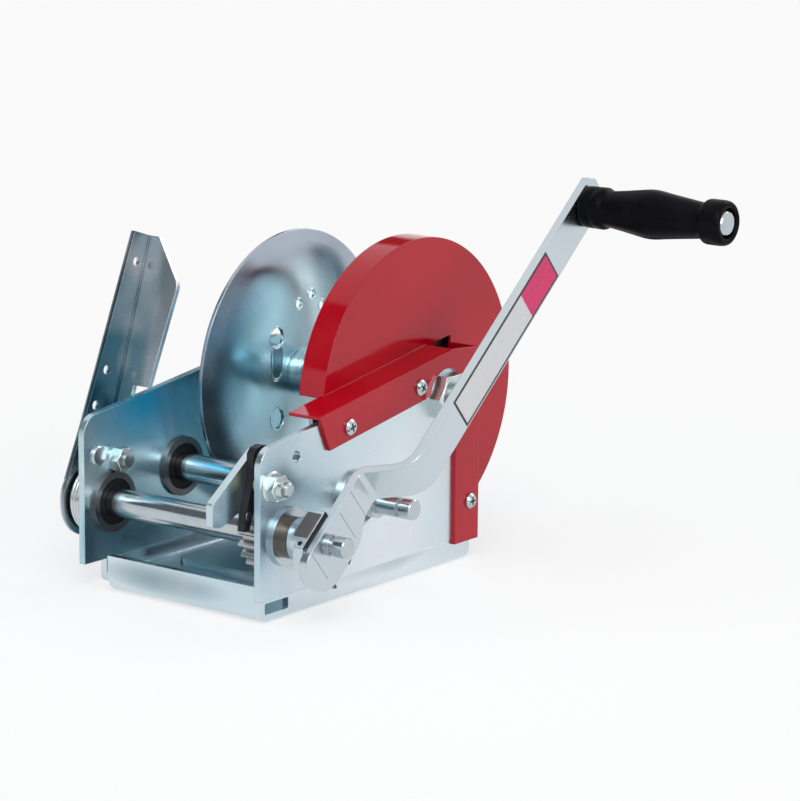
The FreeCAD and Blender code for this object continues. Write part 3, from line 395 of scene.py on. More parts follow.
class Finishes:
    """All finishes of the winch, made once."""

    def __init__(self) -> None:
        """Build each material."""
        self._zinc_sheets()
        self._zinc_parts()
        self._metals()
        self._dark_parts()

    def _zinc_sheets(self) -> None:
        """Build the zinc of the frame's plates, with painted reflections and painted shade on each.
        """
        # Right plate: a darker blue patch low at the front and a grey patch at the back are painted
        # reflections.
        self.zinc = Plated("zinc_sheet", patches=(
            Patch((0.080, -0.085, 0.070), (0.02, 0.05, 0.05), (0.34, 0.50, 0.57), 0.8),
            Patch((0.080, 0.105, 0.090), (0.02, 0.05, 0.04), (0.66, 0.66, 0.66), 0.7),
        )).make()
        inner_x, thin = -0.0735, 0.0040
        # Left plate: a darker, bluer copy of the zinc as painted shade inside the frame; its
        # patches are a painted deep-blue reflection high up, painted shade low down and a thin band
        # of painted sheen.
        self.zinc_left_shaded = Plated(
            "zinc_left_plate", base=(0.46, 0.66, 0.73), cloud=(0.38, 0.58, 0.66), patches=(
                Patch((inner_x, -0.050, 0.120), (thin, 0.050, 0.036), (0.04, 0.36, 0.58), 1.0),
                Patch((inner_x, -0.070, 0.036), (thin, 0.060, 0.022), (0.16, 0.36, 0.44), 0.9),
                Patch((inner_x, -0.085, 0.082), (thin, 0.060, 0.008), (0.70, 0.90, 0.94), 0.8),
            )).make()
        # Base: the dark teal patch over the inner web between the plates is painted shade.
        self.zinc_base = Plated("zinc_base", rough=0.20, patches=(
            Patch((0.0, 0.010, 0.016), (0.068, 0.122, 0.012), (0.04, 0.13, 0.17), 1.0,
                  (0.9, 1.6)),
        )).make()

    def _zinc_parts(self) -> None:
        """Build the zinc of the drum, the lever and the crank, with painted shade and painted
        reflections on the drum, and painted shade on the lever's web and in the rope pocket.
        """
        # Drum: the darker base shows on the flange's rim as painted shade; the paler inner disc and
        # the bluer lower patch are painted reflections.
        self.zinc_drum_shaded = Plated(
            "zinc_drum_shaded", base=(0.42, 0.48, 0.55), cloud=(0.34, 0.42, 0.50), rough=0.22,
            stain=(0.44, 0.46, 0.54), patches=(
                Patch((-0.05, 0.0847, 0.1216), (1.0, 0.083, 0.083), (0.62, 0.80, 0.86), 1.0,
                      (1.14, 1.34)),
                Patch((-0.05, 0.0600, 0.0900), (1.0, 0.060, 0.050), (0.46, 0.66, 0.72), 0.7),
            )).make()
        # Lever: the dark teal patch on the web's face is painted shade.
        self.zinc_lever = Plated(
            "zinc_lever", base=(0.66, 0.74, 0.79), cloud=(0.56, 0.65, 0.71), patches=(
                Patch((-0.0960, -0.080, 0.120), (0.002, 0.40, 0.40), (0.05, 0.13, 0.17), 1.0,
                      (0.9, 1.4)),
            )).make()
        self.zinc_bar = Plated("zinc_bar", base=(0.60, 0.67, 0.71), cloud=(0.54, 0.61, 0.66),
                               rough=0.24, grain=(1.0, 0.2, 0.2)).make()
        # Dark zinc for the rope pocket's floor: painted shade in the recess.
        self.pocket = Plated("pocket_painted_shade", base=(0.16, 0.28, 0.33),
                             cloud=(0.10, 0.20, 0.25)).make()

    def _metals(self) -> None:
        """Build the turned metals and the guard's paint."""
        self.steel = BareMetal("bright_steel", (0.50, 0.56, 0.59), (0.30, 0.33, 0.36)).make()
        self.fastener = BareMetal("zinc_fastener", (0.60, 0.66, 0.66), (0.42, 0.46, 0.46),
                                  rough=0.24).make()
        self.thread = BareMetal("bolt_thread", (0.30, 0.34, 0.36), (0.16, 0.18, 0.19),
                                rough=0.3).make()
        self.gear = BareMetal("gear_steel", (0.42, 0.44, 0.45), (0.20, 0.19, 0.18),
                              rough=0.3).make()
        self.bronze = BareMetal("bronze", (0.20, 0.17, 0.14), (0.08, 0.07, 0.06),
                                rough=0.32).make()
        self.gold = BareMetal("yellow_zinc", (0.60, 0.50, 0.24), (0.4, 0.33, 0.18),
                              rough=0.3).make()
        self.red = Gloss("red_paint", (0.40, 0.002, 0.009), (0.34, 0.001, 0.007)).make()

    def _dark_parts(self) -> None:
        """Build the plastic, the dark steels, the dark tones of painted shade and the shadow lines.
        """
        self.plastic = Moulded("black_plastic", (0.003, 0.003, 0.004), (0.006, 0.006, 0.008),
                               rough=0.30, gleam=0.04).make()
        self.black = Moulded("black_steel", (0.16, 0.165, 0.17), (0.10, 0.10, 0.105),
                             rough=0.34, metallic=1.0).make()
        self.dark_steel = Moulded("dark_pawl_steel", (0.010, 0.010, 0.011),
                                  (0.022, 0.021, 0.022), rough=0.4, gleam=0.3).make()
        # Near-black for painted shade in recesses, gaps and holes.
        self.shade_black = Moulded("painted_shade_black", (0.006, 0.006, 0.007), (0.012, 0.012, 0.012),
                              gleam=0.2).make()
        # Dark grey for the painted shade on the latch strip's face.
        self.latch_shade = Moulded("latch_painted_shade", (0.10, 0.095, 0.10), (0.14, 0.135, 0.14),
                             rough=0.5, metallic=0.4).make()
        self.crease = Moulded("crease_shadow", (0.16, 0.22, 0.28), (0.20, 0.27, 0.33),
                              metallic=0.5).make()


def edged_mesh(name: str, build: bmesh.types.BMesh, body: Body,
               material: bpy.types.Material, smooth_angle: float = 35.0) -> bpy.types.Object:
    """Turn a finished bmesh into a piece that rides on a body.

    Args:
        name: Name of the piece.
        build: The bmesh, which is freed.
        body: Body that the piece rides on.
        material: Its material.
        smooth_angle: Edges sharper than this, in degrees, stay sharp.

    Returns:
        The new object.
    """
    bmesh.ops.recalc_face_normals(build, faces=build.faces)
    limit = math.radians(smooth_angle)
    for face in build.faces:
        face.smooth = True
    for edge in build.edges:
        edge.smooth = edge.calc_face_angle(0.0) < limit
    mesh = bpy.data.meshes.new(name)
    build.to_mesh(mesh)
    build.free()
    piece = bpy.data.objects.new(name, mesh)
    bpy.context.scene.collection.objects.link(piece)
    mesh.materials.append(material)
    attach(piece, body.value)
    LOG.info("piece %s on %s", name, body.value)
    return piece


def circle(centre: Centre, radius: float, angle: float) -> Centre:
    """The (y, z) point of a circle round an axis along X."""
    return (centre[0] + radius * math.cos(angle), centre[1] + radius * math.sin(angle))


def bridge(build: bmesh.types.BMesh, rings: Sequence[Sequence[bmesh.types.BMVert]],
           closed: bool = True) -> None:
    """Join neighbouring rings of vertices with faces.

    Args:
        build: The bmesh that the rings are in.
        rings: Rings with as many vertices each.
        closed: Whether the last ring joins the first.
    """
    following = list(rings[1:]) + (list(rings[:1]) if closed else [])
    for first, second in zip(rings, following):
        for i in range(len(first)):
            j = (i + 1) % len(first)
            build.faces.new((first[i], first[j], second[j], second[i]))


def turned(outline: Sequence[tuple[float, float]], centre: Centre,
           steps: int = 96) -> bmesh.types.BMesh:
    """A closed outline of (x, radius) points turned about an axis along X.

    Args:
        outline: Points in order, in metres.
        centre: The axis's y and z.
        steps: Number of segments round the axis.

    Returns:
        The bmesh.
    """
    build = bmesh.new()
    rings = []
    for x, radius in outline:
        rings.append([build.verts.new((x, *circle(centre, radius, 2 * math.pi * i / steps)))
                      for i in range(steps)])
    bridge(build, rings)
    return build


def prism(outline: Sequence[Point], rise: Point) -> bmesh.types.BMesh:
    """A flat outline raised along a direction.

    Args:
        outline: Corners of the base, in order.
        rise: How far and which way it is raised.

    Returns:
        The bmesh.
    """
    build = bmesh.new()
    base = [build.verts.new(corner) for corner in outline]
    top = [build.verts.new(Vector(corner) + Vector(rise)) for corner in outline]
    build.faces.new(base)
    build.faces.new(top[::-1])
    count = len(outline)
    for i in range(count):
        j = (i + 1) % count
        build.faces.new((base[i], base[j], top[j], top[i]))
    return build


def tube(path: Sequence[Vector], radius: float, sides: int = 12) -> bmesh.types.BMesh:
    """A round wire along a path, closed at both ends.

    Args:
        path: Points of its middle line.
        radius: Radius of the wire.
        sides: Number of sides round it.

    Returns:
        The bmesh.
    """
    build = bmesh.new()
    rings = []
    across = Vector((0.3, 0.5, 0.8))  # any direction off the path, turned square to it below
    for i, point in enumerate(path):
        ahead = (path[min(i + 1, len(path) - 1)] - path[max(i - 1, 0)]).normalized()
        across = (across - ahead * across.dot(ahead)).normalized()
        other = ahead.cross(across)
        ring = []
        for j in range(sides):
            turn = 2 * math.pi * j / sides
            offset = across * math.cos(turn) + other * math.sin(turn)
            ring.append(build.verts.new(point + offset * radius))
        rings.append(ring)
    bridge(build, rings, closed=False)
    build.faces.new(rings[0][::-1])
    build.faces.new(rings[-1])
    return build


def nut(centre: Centre, seat: float, thick: float, across: float, bore: float,
        collar: float = 0.0) -> bmesh.types.BMesh:
    """A hexagon nut with chamfered corners, its axis along X.

    Args:
        centre: The axis's y and z.
        seat: X of the face it sits on.
        thick: Height along X, negative towards the left.
        across: Size across its flats.
        bore: Radius of its bore.
        collar: Share of the height that is a round collar.

    Returns:
        The bmesh.
    """
    build = bmesh.new()
    steps, chamfer_slope = 72, 0.55
    side = math.copysign(1.0, thick)
    top = seat + thick
    shoulder = seat + thick * (1.0 - collar)
    crown = across / 2 * 0.95
    tall = crown * (0.86 if collar else 0.97)
    rings: list[list[bmesh.types.BMVert]] = [[] for _ in range(7)]
    for i in range(steps):
        angle = 2 * math.pi * i / steps
        corner = across / 2 / math.cos((angle % (math.pi / 3)) - math.pi / 6)
        drop = (corner - crown) * chamfer_slope
        places = ((seat, bore), (seat, corner), (shoulder - side * drop, corner),
                  (shoulder, crown), (shoulder, tall), (top, tall * 0.93), (top, bore))
        for ring, (x, radius) in zip(rings, places):
            ring.append(build.verts.new((x, *circle(centre, radius, angle))))
    bridge(build, rings)
    return build


def dress(frame: dict, material: bpy.types.Material, names: Iterable[str]) -> None:
    """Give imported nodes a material.

    Args:
        material: The finish.
        names: Nodes to dress.
    """
    for name in names:
        data = frame["nodes"][name].data
        data.materials.clear()
        data.materials.append(material)
        LOG.info("node %s has %s", name, material.name)


@dataclass
class Studio:
    """Pale floor, soft lamps and the camera at the photograph's place."""

    camera_place: Point = (1.485364, -1.821943, 0.627193)
    azimuth: float = 37.146
    elevation: float = 12.146
    roll: float = 0.528
    focal_px: float = 3500.0
    frame_px: int = 801
    sensor_mm: float = 36.0
    background: float = 0.955
    shadow: float = 0.35

    def camera(self) -> None:
        """Make the camera."""
        data = bpy.data.cameras.new("camera")
        data.sensor_width = self.sensor_mm
        data.lens = self.focal_px / self.frame_px * self.sensor_mm
        data.clip_start = 0.05
        data.clip_end = 50.0
        azimuth, elevation, roll = map(math.radians, (self.azimuth, self.elevation, self.roll))
        forward = Vector((-math.sin(azimuth) * math.cos(elevation),
                          math.cos(azimuth) * math.cos(elevation), -math.sin(elevation)))
        right = Vector((math.cos(azimuth), math.sin(azimuth), 0.0))
        up = right.cross(forward)
        across = right * math.cos(roll) + up * math.sin(roll)
        above = up * math.cos(roll) - right * math.sin(roll)
        turn = Matrix((across, above, -forward)).transposed().to_4x4()
        camera = bpy.data.objects.new("camera", data)
        camera.matrix_world = Matrix.Translation(Vector(self.camera_place)) @ turn
        bpy.context.scene.collection.objects.link(camera)
        bpy.context.scene.camera = camera

    @staticmethod
    def seen(graph: Graph) -> Maths:
        """Tell rays that show the background from those that only light.

        Args:
            graph: The tree that the nodes go in.

        Returns:
            One for rays that show it, nought for the others.
        """
        camera, glossy, through = (graph.node("ShaderNodeLightPath", {}, {}, f"Is {kind} Ray")
                                   for kind in ("Camera", "Glossy", "Transmission"))
        return (camera + glossy + through).clamp()

    def plain(self, graph: Graph) -> Maths:
        """The shader of the plain background."""
        return graph.node("ShaderNodeEmission", {}, {"Color": self.grey(), "Strength": 1.0})

    def grey(self) -> tuple[float, float, float, float]:
        """The background's colour."""
        return opaque((self.background,) * 3)

    def backdrop(self) -> None:
        """Make the floor: the plain background with a faint shadow of the object."""
        build = bmesh.new()
        bmesh.ops.create_circle(build, cap_ends=True, radius=4.0, segments=64)
        mesh = bpy.data.meshes.new("floor")
        build.to_mesh(mesh)
        build.free()
        floor = bpy.data.objects.new("floor", mesh)
        floor.location = (0.0, 0.0, -0.0005)
        bpy.context.scene.collection.objects.link(floor)
        graph = Graph.material("studio_floor")
        lit = graph.node("ShaderNodeBsdfDiffuse", {}, {"Color": (0.93, 0.93, 0.93, 1.0)})
        reach = graph.vector("LENGTH", graph.place(), output="Value")
        near = graph.spread(reach, 0.25, 0.7, 1.0, 0.0)
        share = self.seen(graph) * (1.0 - near * self.shadow)
        mixed = graph.node("ShaderNodeMixShader", {}, {0: share, 1: lit, 2: self.plain(graph)})
        graph.node("ShaderNodeOutputMaterial", {}, {"Surface": mixed})
        mesh.materials.append(graph.owner)

    def world(self) -> None:
        """Make the pale world: plain for the camera and for gloss, dimmer as a lamp."""
        world = bpy.data.worlds.new("world")
        bpy.context.scene.world = world
        graph = Graph(world)
        ambient = graph.node("ShaderNodeBackground", {},
                             {"Color": (0.92, 0.96, 1.0, 1.0), "Strength": 0.55})
        plain = graph.node("ShaderNodeBackground", {}, {"Color": self.grey(), "Strength": 1.0})
        mixed = graph.node("ShaderNodeMixShader", {}, {0: self.seen(graph), 1: ambient, 2: plain})
        graph.node("ShaderNodeOutputWorld", {}, {"Surface": mixed})

    def lamp(self, name: str, place: Point, size: float, power: float,
             target: Point = (0, 0, 0.1)) -> None:
        """Make a square soft lamp that faces a point.

        Args:
            name: The lamp's name.
            place: Where it hangs.
            size: Length of its side.
            power: Its power in watts.
            target: What it faces.
        """
        data = bpy.data.lights.new(name, "AREA")
        data.size = size
        data.energy = power
        lamp = bpy.data.objects.new(name, data)
        lamp.location = place
        lamp.rotation_euler = (Vector(target) - Vector(place)).to_track_quat("-Z", "Y").to_euler()
        bpy.context.scene.collection.objects.link(lamp)

    def card(self, name: str, place: Point, size: tuple[float, float], colour: Colour,
             target: Point = (0, 0, 0.1)) -> None:
        """Hang a dark card that only shiny surfaces see, to shade them softly.

        Args:
            name: The card's name.
            place: Its middle.
            size: Its width and height.
            colour: Its colour.
            target: What it faces.
        """
        build = bmesh.new()
        bmesh.ops.create_grid(build, x_segments=1, y_segments=1, size=0.5)
        mesh = bpy.data.meshes.new(name)
        build.to_mesh(mesh)
        build.free()
        card = bpy.data.objects.new(name, mesh)
        card.location = place
        card.scale = (*size, 1.0)
        card.rotation_euler = (Vector(target) - Vector(place)).to_track_quat("-Z", "Y").to_euler()
        bpy.context.scene.collection.objects.link(card)
        graph = Graph.material(name)
        glow = graph.node("ShaderNodeEmission", {}, {"Color": opaque(colour), "Strength": 1.0})
        graph.node("ShaderNodeOutputMaterial", {}, {"Surface": glow})
        mesh.materials.append(graph.owner)
        for ray in ("camera", "diffuse", "transmission", "shadow", "volume_scatter"):
            setattr(card, f"visible_{ray}", False)

    def build(self) -> None:
        """Set up everything around the object."""
        self.camera()
        self.backdrop()
        self.world()
        self.lamp("key", (1.2, -1.6, 2.2), 1.6, 34.0)
        self.lamp("side", (-1.8, -1.2, 1.4), 1.4, 12.0)
        self.lamp("back", (0.4, 1.8, 1.6), 1.2, 10.0)
        self.lamp("right", (2.2, -0.5, 0.9), 1.2, 17.0)
        self.card("card_left", (-1.6, -0.6, 0.2), (1.6, 1.6), (0.01, 0.05, 0.08))
        self.card("card_front", (0.5, -2.2, -0.1), (2.6, 0.9), (0.02, 0.08, 0.11))
        self.card("card_behind", (0.075, 0.36, 0.0), (0.18, 0.50), (0.03, 0.11, 0.15),
                  (-1.0, 0.36, 0.0))
        self.card("card_high", (-1.25, -1.05, 1.2), (1.6, 1.3), (0.03, 0.05, 0.06))
        self.card("card_back_high", (-1.2, 1.35, 0.95), (0.8, 0.5), (0.06, 0.05, 0.05))


@dataclass(frozen=True)
class Handle:
    """Smooth moulded grip: stepped collar, double cone and a deep end ring."""

    centre: Centre = GRIP_AXIS
    start: float = 0.1524
    end: float = 0.2664
    bore: float = 0.0051
    recess: float = 0.0103
    recess_depth: float = 0.0042

    def profile(self) -> list[tuple[float, float]]:
        """Draw the grip's outline.

        Returns:
            Its (x, radius) points in metres.
        """
        # Millimetres from the grip's start, and the radius there
        collar = [(0.0, 12.8), (0.4, 13.6), (1.4, 14.2), (3.0, 14.4), (8.6, 14.4), (9.2, 14.1),
                  (9.8, 14.1), (10.4, 14.5), (15.6, 14.5), (16.8, 14.0), (17.6, 12.9),
                  (18.2, 12.5), (19.2, 12.5)]
        belly = [(26.0, 13.3), (34.0, 14.4), (42.0, 15.6), (47.0, 16.35), (50.5, 16.8),
                 (54.0, 16.95), (57.5, 16.8), (61.0, 16.35), (66.0, 15.6), (74.0, 14.6),
                 (84.0, 13.4), (93.0, 12.35), (95.6, 12.2)]
        ring = [(96.6, 12.7), (97.2, 14.2), (98.4, 15.1), (100.0, 15.5), (109.5, 15.5),
                (111.8, 15.2), (113.2, 14.5), (114.0, 13.4), (114.0, 11.2), (113.6, 10.6)]
        outside = [(self.start + along / 1000, radius / 1000)
                   for along, radius in collar + belly + ring]
        floor = self.end - self.recess_depth
        return [(self.start, self.bore), *outside, (self.end - 0.001, self.recess),
                (floor, self.recess), (floor, self.bore)]

    def build(self, finishes: Finishes) -> None:
        """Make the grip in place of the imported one.

        Args:
            finishes: The winch's finishes.
        """
        piece = edged_mesh("grip_sleeve", turned(self.profile(), self.centre), Body.GRIP,
                           finishes.plastic, smooth_angle=40.0)
        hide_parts("crank_grip")


@dataclass(frozen=True)
class Fittings:
    """Nuts, threads, painted shade in the screw and bush recesses, and the lever's wrap spring."""

    finishes: Finishes
    thread_pitch: float = 0.0015
    thread_crest: float = 0.00025
    bolt_bore: float = 0.00501
    axle_bore: float = 0.01001
    spring_radius: float = 0.0222
    spring_wire: float = 0.00135
    spring_turns: float = 5.0
    spring_span: tuple[float, float] = (-0.0938, -0.0812)
    pawl_drop: float = 0.029
    pawl_thick: float = 0.006
    pawl_x: float = 0.0630
    screw_face_x: float = 0.08501

    def hexagon(self, node: str, centre: Centre, seat: float, thick: float, across: float,
                bore: float, collar: float = 0.0) -> None:
        """Put a chamfered nut in place of a packed one.

        Args:
            node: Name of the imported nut.
            centre: The axis's y and z.
            seat: X of the face it sits on.
            thick: Height along X, negative towards the left.
            across: Size across its flats.
            bore: Radius of its bore.
            collar: Share of the height that is a round collar.
        """
        shape = nut(centre, seat, thick, across, bore, collar)
        piece = edged_mesh(f"{node}_chamfered", shape, Body.FRAME,
                           self.finishes.fastener, smooth_angle=25.0)
        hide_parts(node)

    def thread(self, name: str, centre: Centre, start: float, end: float,
               radius: float) -> None:
        """Wind a row of fine crests on the end of a bolt.

        Args:
            name: Name of the piece.
            centre: The axis's y and z.
            start: X where the crests begin.
            end: X where they end.
            radius: Radius of the bolt.
        """
        count = max(2, round((end - start) / self.thread_pitch))
        pitch = (end - start) / count
        under = radius - 0.0006
        outline = [(start, under)]
        for i in range(count):
            left = start + i * pitch
            outline += [(left, radius), (left + pitch / 2, radius + self.thread_crest)]
        outline += [(end, radius), (end, under)]
        edged_mesh(name, turned(outline, centre, 48), Body.FRAME,
                   self.finishes.thread, smooth_angle=15.0)

    def cross(self, name: str, centre: Centre, tilt: float) -> None:
        """Lay a thin dark cross on a screw head: painted shade of its cross recess.

        Args:
            name: Name of the piece.
            centre: The screw's y and z.
            tilt: How far the cross is turned, in radians.
        """
        arm, half = 0.0030, 0.00065
        plus = [(arm, -half), (arm, half), (half, half), (half, arm), (-half, arm), (-half, half),
                (-arm, half), (-arm, -half), (-half, -half), (-half, -arm), (half, -arm),
                (half, -half)]
        corners = []
        for along, above in plus:
            y = centre[0] + along * math.cos(tilt) - above * math.sin(tilt)
            z = centre[1] + along * math.sin(tilt) + above * math.cos(tilt)
            corners.append((self.screw_face_x, y, z))
        edged_mesh(name, prism(corners, (0.00006, 0.0, 0.0)), Body.FRAME,
                   self.finishes.shade_black)

    def recess_shade(self, name: str, centre: Centre) -> None:
        """Lay a dark ring in the recess of a left bush: painted shade of the deep recess."""
        outline = [(-0.0732, 0.0103), (-0.0728, 0.0103), (-0.0726, 0.0118), (-0.0728, 0.0160),
                   (-0.0732, 0.0160)]
        edged_mesh(name, turned(outline, centre), Body.FRAME, self.finishes.shade_black)

    def spring(self) -> None:
        """Wind the wrap spring with its hooked tail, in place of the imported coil."""
        left, right = self.spring_span
        steps, first_angle = int(self.spring_turns * 48), -0.6
        coil = []
        for i in range(steps + 1):
            angle = 2 * math.pi * self.spring_turns * i / steps + first_angle
            x = left + (right - left) * i / steps
            coil.append(Vector((x, *circle(FIRST_AXIS, self.spring_radius, angle))))
        tail_step = Vector((-0.0002, -0.0004, -0.0016))
        tail = [coil[0] + tail_step * k for k in range(6, 0, -1)]
        piece = edged_mesh("lever_wrap_spring", tube(tail + coil, self.spring_wire), Body.FRAME,
                           self.finishes.zinc_bar, smooth_angle=60.0)
        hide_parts("lever_spring")

    def pawl(self) -> None:
        """Shape the pawl with its slim upper arm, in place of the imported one."""
        # In shares of the drop from the bolt to the tip
        outline = [(-0.55, -1.0), (-0.38, -1.0), (-0.24, -0.62), (0.18, -0.37), (0.30, -0.22),
                   (0.40, 0.30), (0.39, 0.46), (0.27, 0.80), (0.20, 0.88), (0.10, 0.90),
                   (-0.12, 0.86), (-0.22, 0.74), (-0.24, 0.20), (-0.36, -0.20), (-0.50, -0.60)]
        corners = [(self.pawl_x, PAWL_AXIS[0] + y * self.pawl_drop,
                    PAWL_AXIS[1] + z * self.pawl_drop) for y, z in outline]
        piece = edged_mesh("slim_pawl", prism(corners, (self.pawl_thick, 0.0, 0.0)), Body.PAWL,
                           self.finishes.dark_steel)
        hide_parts("pawl")

    def guard_fold(self) -> None:
        """Close the corner where the guard's shelf meets its pan."""
        inner_x, sheet = 0.0556, 0.0018
        edge = ((0.1740, 0.1290), (0.1740, 0.1345), (0.1905, 0.1380), (0.1905, 0.1240))
        corners = [(inner_x, y, z) for y, z in edge]
        edged_mesh("guard_fold", prism(corners, (sheet, 0.0, 0.0)), Body.FRAME,
                   self.finishes.red)

    def nuts(self) -> None:
        """Make the four nuts and the pawl bolt's round skirt."""
        self.hexagon("pawl_bolt_nut", PAWL_AXIS, 0.0797, 0.0118, 0.0165, self.bolt_bore, 0.38)
        skirt = [(PLATE_OUT, 0.0052), (PLATE_OUT, 0.0106), (0.0801, 0.0107),
                 (0.0812, 0.0094), (0.0812, 0.0052)]
        edged_mesh("pawl_bolt_nut_skirt", turned(skirt, PAWL_AXIS), Body.FRAME,
                   self.finishes.fastener)
        washer_x = -0.0725
        self.hexagon("stop_bolt_nut", STOP_AXIS, washer_x, 0.008, 0.016, self.bolt_bore)
        self.hexagon("axle_nut_right", DRUM_AXIS, PLATE_OUT, 0.010, 0.030, self.axle_bore)
        self.hexagon("axle_nut_left", DRUM_AXIS, -PLATE_OUT, -0.010, 0.030, self.axle_bore)

    def threads(self) -> None:
        """Make the thread ends that stand out of the nuts."""
        self.thread("pawl_bolt_thread", PAWL_AXIS, 0.0917, 0.0937, 0.005)
        self.thread("stop_bolt_thread", STOP_AXIS, -0.0643, -0.0624, 0.005)
        self.thread("axle_thread_right", DRUM_AXIS, 0.0897, 0.0965, 0.010)
        self.thread("axle_thread_left", DRUM_AXIS, -0.0916, -0.0897, 0.010)

    def build(self) -> None:
        """Make every fitting."""
        self.nuts()
        self.threads()
        screws = ((-0.02474, 0.1181, 0.3), (0.05357, 0.1323, 0.9), (0.11257, 0.0415, 0.1))
        for count, (y, z, tilt) in enumerate(screws, start=1):
            self.cross(f"screw_recess_shade_{count}", (y, z), tilt)
        self.pawl()
        self.guard_fold()
        # Painted shade in the deep recesses of the left bushes.
        self.recess_shade("first_bush_recess_shade", FIRST_AXIS)
        self.recess_shade("second_bush_recess_shade", SECOND_AXIS)
        self.spring()


def on_arm(x: float, along: float, across: float) -> Point:
    """A point given along and across the crank arm.

    Args:
        x: Its X.
        along: Distance from the first shaft's axis along the arm.
        across: Distance to the arm's upper side.

    Returns:
        The point.
    """
    turn_cos, turn_sin = math.cos(ARM_ANGLE), math.sin(ARM_ANGLE)
    y = FIRST_AXIS[0] + along * turn_cos - across * turn_sin
    z = FIRST_AXIS[1] + along * turn_sin + across * turn_cos
    return (x, y, z)


@dataclass(frozen=True)
class Crank:
    """Creases of the crank's foot drawn as painted shadow, and the latch with painted shade on its
    face, in its slot and in its hole.
    """

    finishes: Finishes
    crease_x: tuple[float, float] = (0.11598, 0.11604)
    crease_half: float = 0.0002
    hole_radius: float = 0.0017
    hole_depth: float = 0.0003
    hole_sides: int = 16

    def block(self, name: str, span_x: tuple[float, float], along: tuple[float, float],
              across: tuple[float, float], material: bpy.types.Material) -> None:
        """Make a small flat block that turns with the crank.

        Args:
            name: Name of the piece.
            span_x: Its ends along X.
            along: Its ends along the arm.
            across: Its ends across the arm.
            material: Its finish.
        """
        low, high = span_x
        corners = [on_arm(low, s, w) for s, w in (
            (along[0], across[0]), (along[1], across[0]),
            (along[1], across[1]), (along[0], across[1]))]
        edged_mesh(name, prism(corners, (high - low, 0.0, 0.0)), Body.CRANK, material)

    def creases(self) -> None:
        """Draw the bend lines of the crank's foot as thin strips of painted shadow."""
        lines = ((0.036, -0.012, 0.012), (0.0195, -0.017, 0.010), (-0.017, -0.014, 0.013))
        for count, (along, low, high) in enumerate(lines, start=1):
            span = (along - self.crease_half, along + self.crease_half)
            self.block(f"foot_crease_{count}", self.crease_x, span, (low, high),
                       self.finishes.crease)

    def latch(self) -> None:
        """Make the latch's frame and the painted shade on its face, in its slot and in its hole."""
        finishes = self.finishes
        self.block("latch_frame", (0.0955, 0.1093), (-0.0110, 0.0149), (0.0142, 0.0155),
                   finishes.zinc_bar)
        # A dark grey sheet over the latch strip's face: painted shade.
        self.block("latch_face_shade", (0.0972, 0.1080), (-0.0075, 0.0120), (0.0154, 0.0161),
                   finishes.latch_shade)
        # A black line in the gap beside the foot: painted shadow.
        self.block("latch_slot_shade", (0.1094, 0.1100), (-0.0160, 0.0148), (0.0134, 0.0153),
                   finishes.shade_black)
        # A black disc over the hole at the strip's lower end: painted shade.
        hole = []
        for i in range(self.hole_sides):
            turn = 2 * math.pi * i / self.hole_sides
            hole.append(on_arm(0.1050 + self.hole_radius * math.cos(turn),
                               -0.0125 + self.hole_radius * math.sin(turn), 0.0151))
        rise = Vector(on_arm(0.0, 0.0, self.hole_depth)) - Vector(on_arm(0.0, 0.0, 0.0))
        edged_mesh("latch_hole_shade", prism(hole, rise), Body.CRANK, finishes.shade_black)

    def build(self) -> None:
        """Make the creases and the latch."""
        self.creases()
        self.latch()


@dataclass(frozen=True)
class Pressings:
    """Rope pocket and raised rims pressed into the drum's left flange."""

    finishes: Finishes
    face_x: float = -0.0455
    hole_reach: float = 0.0417
    hole_radius: float = 0.00725
    clamp_radius: float = 0.0035
    pocket_half: float = 0.0060
    pocket_top: Centre = (-0.0296, 0.0215)
    pocket_low: Centre = (-0.0303, 0.0060)
    pocket_round: float = 1.2

    def place(self, y: float, z: float) -> Vector:
        """A point on the flange's flat, given from the drum's axis."""
        return Vector((self.face_x, DRUM_AXIS[0] + y, DRUM_AXIS[1] + z))

    def rim(self, name: str, reach: float, turn: float, radius: float) -> None:
        """Raise a soft rim round a hole.

        Args:
            name: Name of the piece.
            reach: Distance of the hole from the drum's axis.
            turn: Where it lies round the axis, in degrees.
            radius: Radius of the hole.
        """
        outline = [(self.face_x - 0.0004, radius + 0.0002), (self.face_x + 0.0003, radius + 0.0003),
                   (self.face_x + 0.0003, radius + 0.0007), (self.face_x - 0.0002, radius + 0.0014)]
        middle = circle(DRUM_AXIS, reach, math.radians(turn))
        edged_mesh(name, turned(outline, middle, 48), Body.DRUM,
                   self.finishes.zinc_drum_shaded, smooth_angle=80.0)

    def pocket(self) -> None:
        """Draw the rope pocket that runs down from the upper hole: a raised rim round a dark floor
        of painted shade.
        """
        half, steps = self.pocket_half, 16
        (top_y, top_z), (low_y, low_z) = self.pocket_top, self.pocket_low
        path = [self.place(top_y - half, top_z), self.place(low_y - half, low_z)]
        for i in range(1, steps):
            turn = math.pi + math.pi * i / steps
            path.append(self.place(low_y + half * math.cos(turn),
                                   low_z + half * self.pocket_round * math.sin(turn)))
        path += [self.place(low_y + half, low_z), self.place(top_y + half, top_z)]
        sunk = [point + Vector((-0.0009, 0.0, 0.0)) for point in path]
        edged_mesh("rope_pocket_rim", tube(sunk, 0.0016), Body.DRUM,
                   self.finishes.zinc_bar, smooth_angle=70.0)
        # The pocket's floor is a thin dark sheet: painted shade.
        inside = [tuple(point + Vector((0.0002, 0.0, 0.0))) for point in path]
        edged_mesh("rope_pocket_shade", prism(inside, (0.00005, 0.0, 0.0)), Body.DRUM,
                   self.finishes.pocket)

    def build(self) -> None:
        """Make the pocket and the rims."""
        for count, turn in enumerate((136.0, 225.0), start=1):
            self.rim(f"flange_hole_rim_{count}", self.hole_reach, turn, self.hole_radius)
        clamps = ((0.050, 65.0), (0.0554, 80.5), (0.050, 96.0))
        for count, (reach, turn) in enumerate(clamps, start=1):
            self.rim(f"clamp_hole_rim_{count}", reach, turn, self.clamp_radius)
        self.pocket()


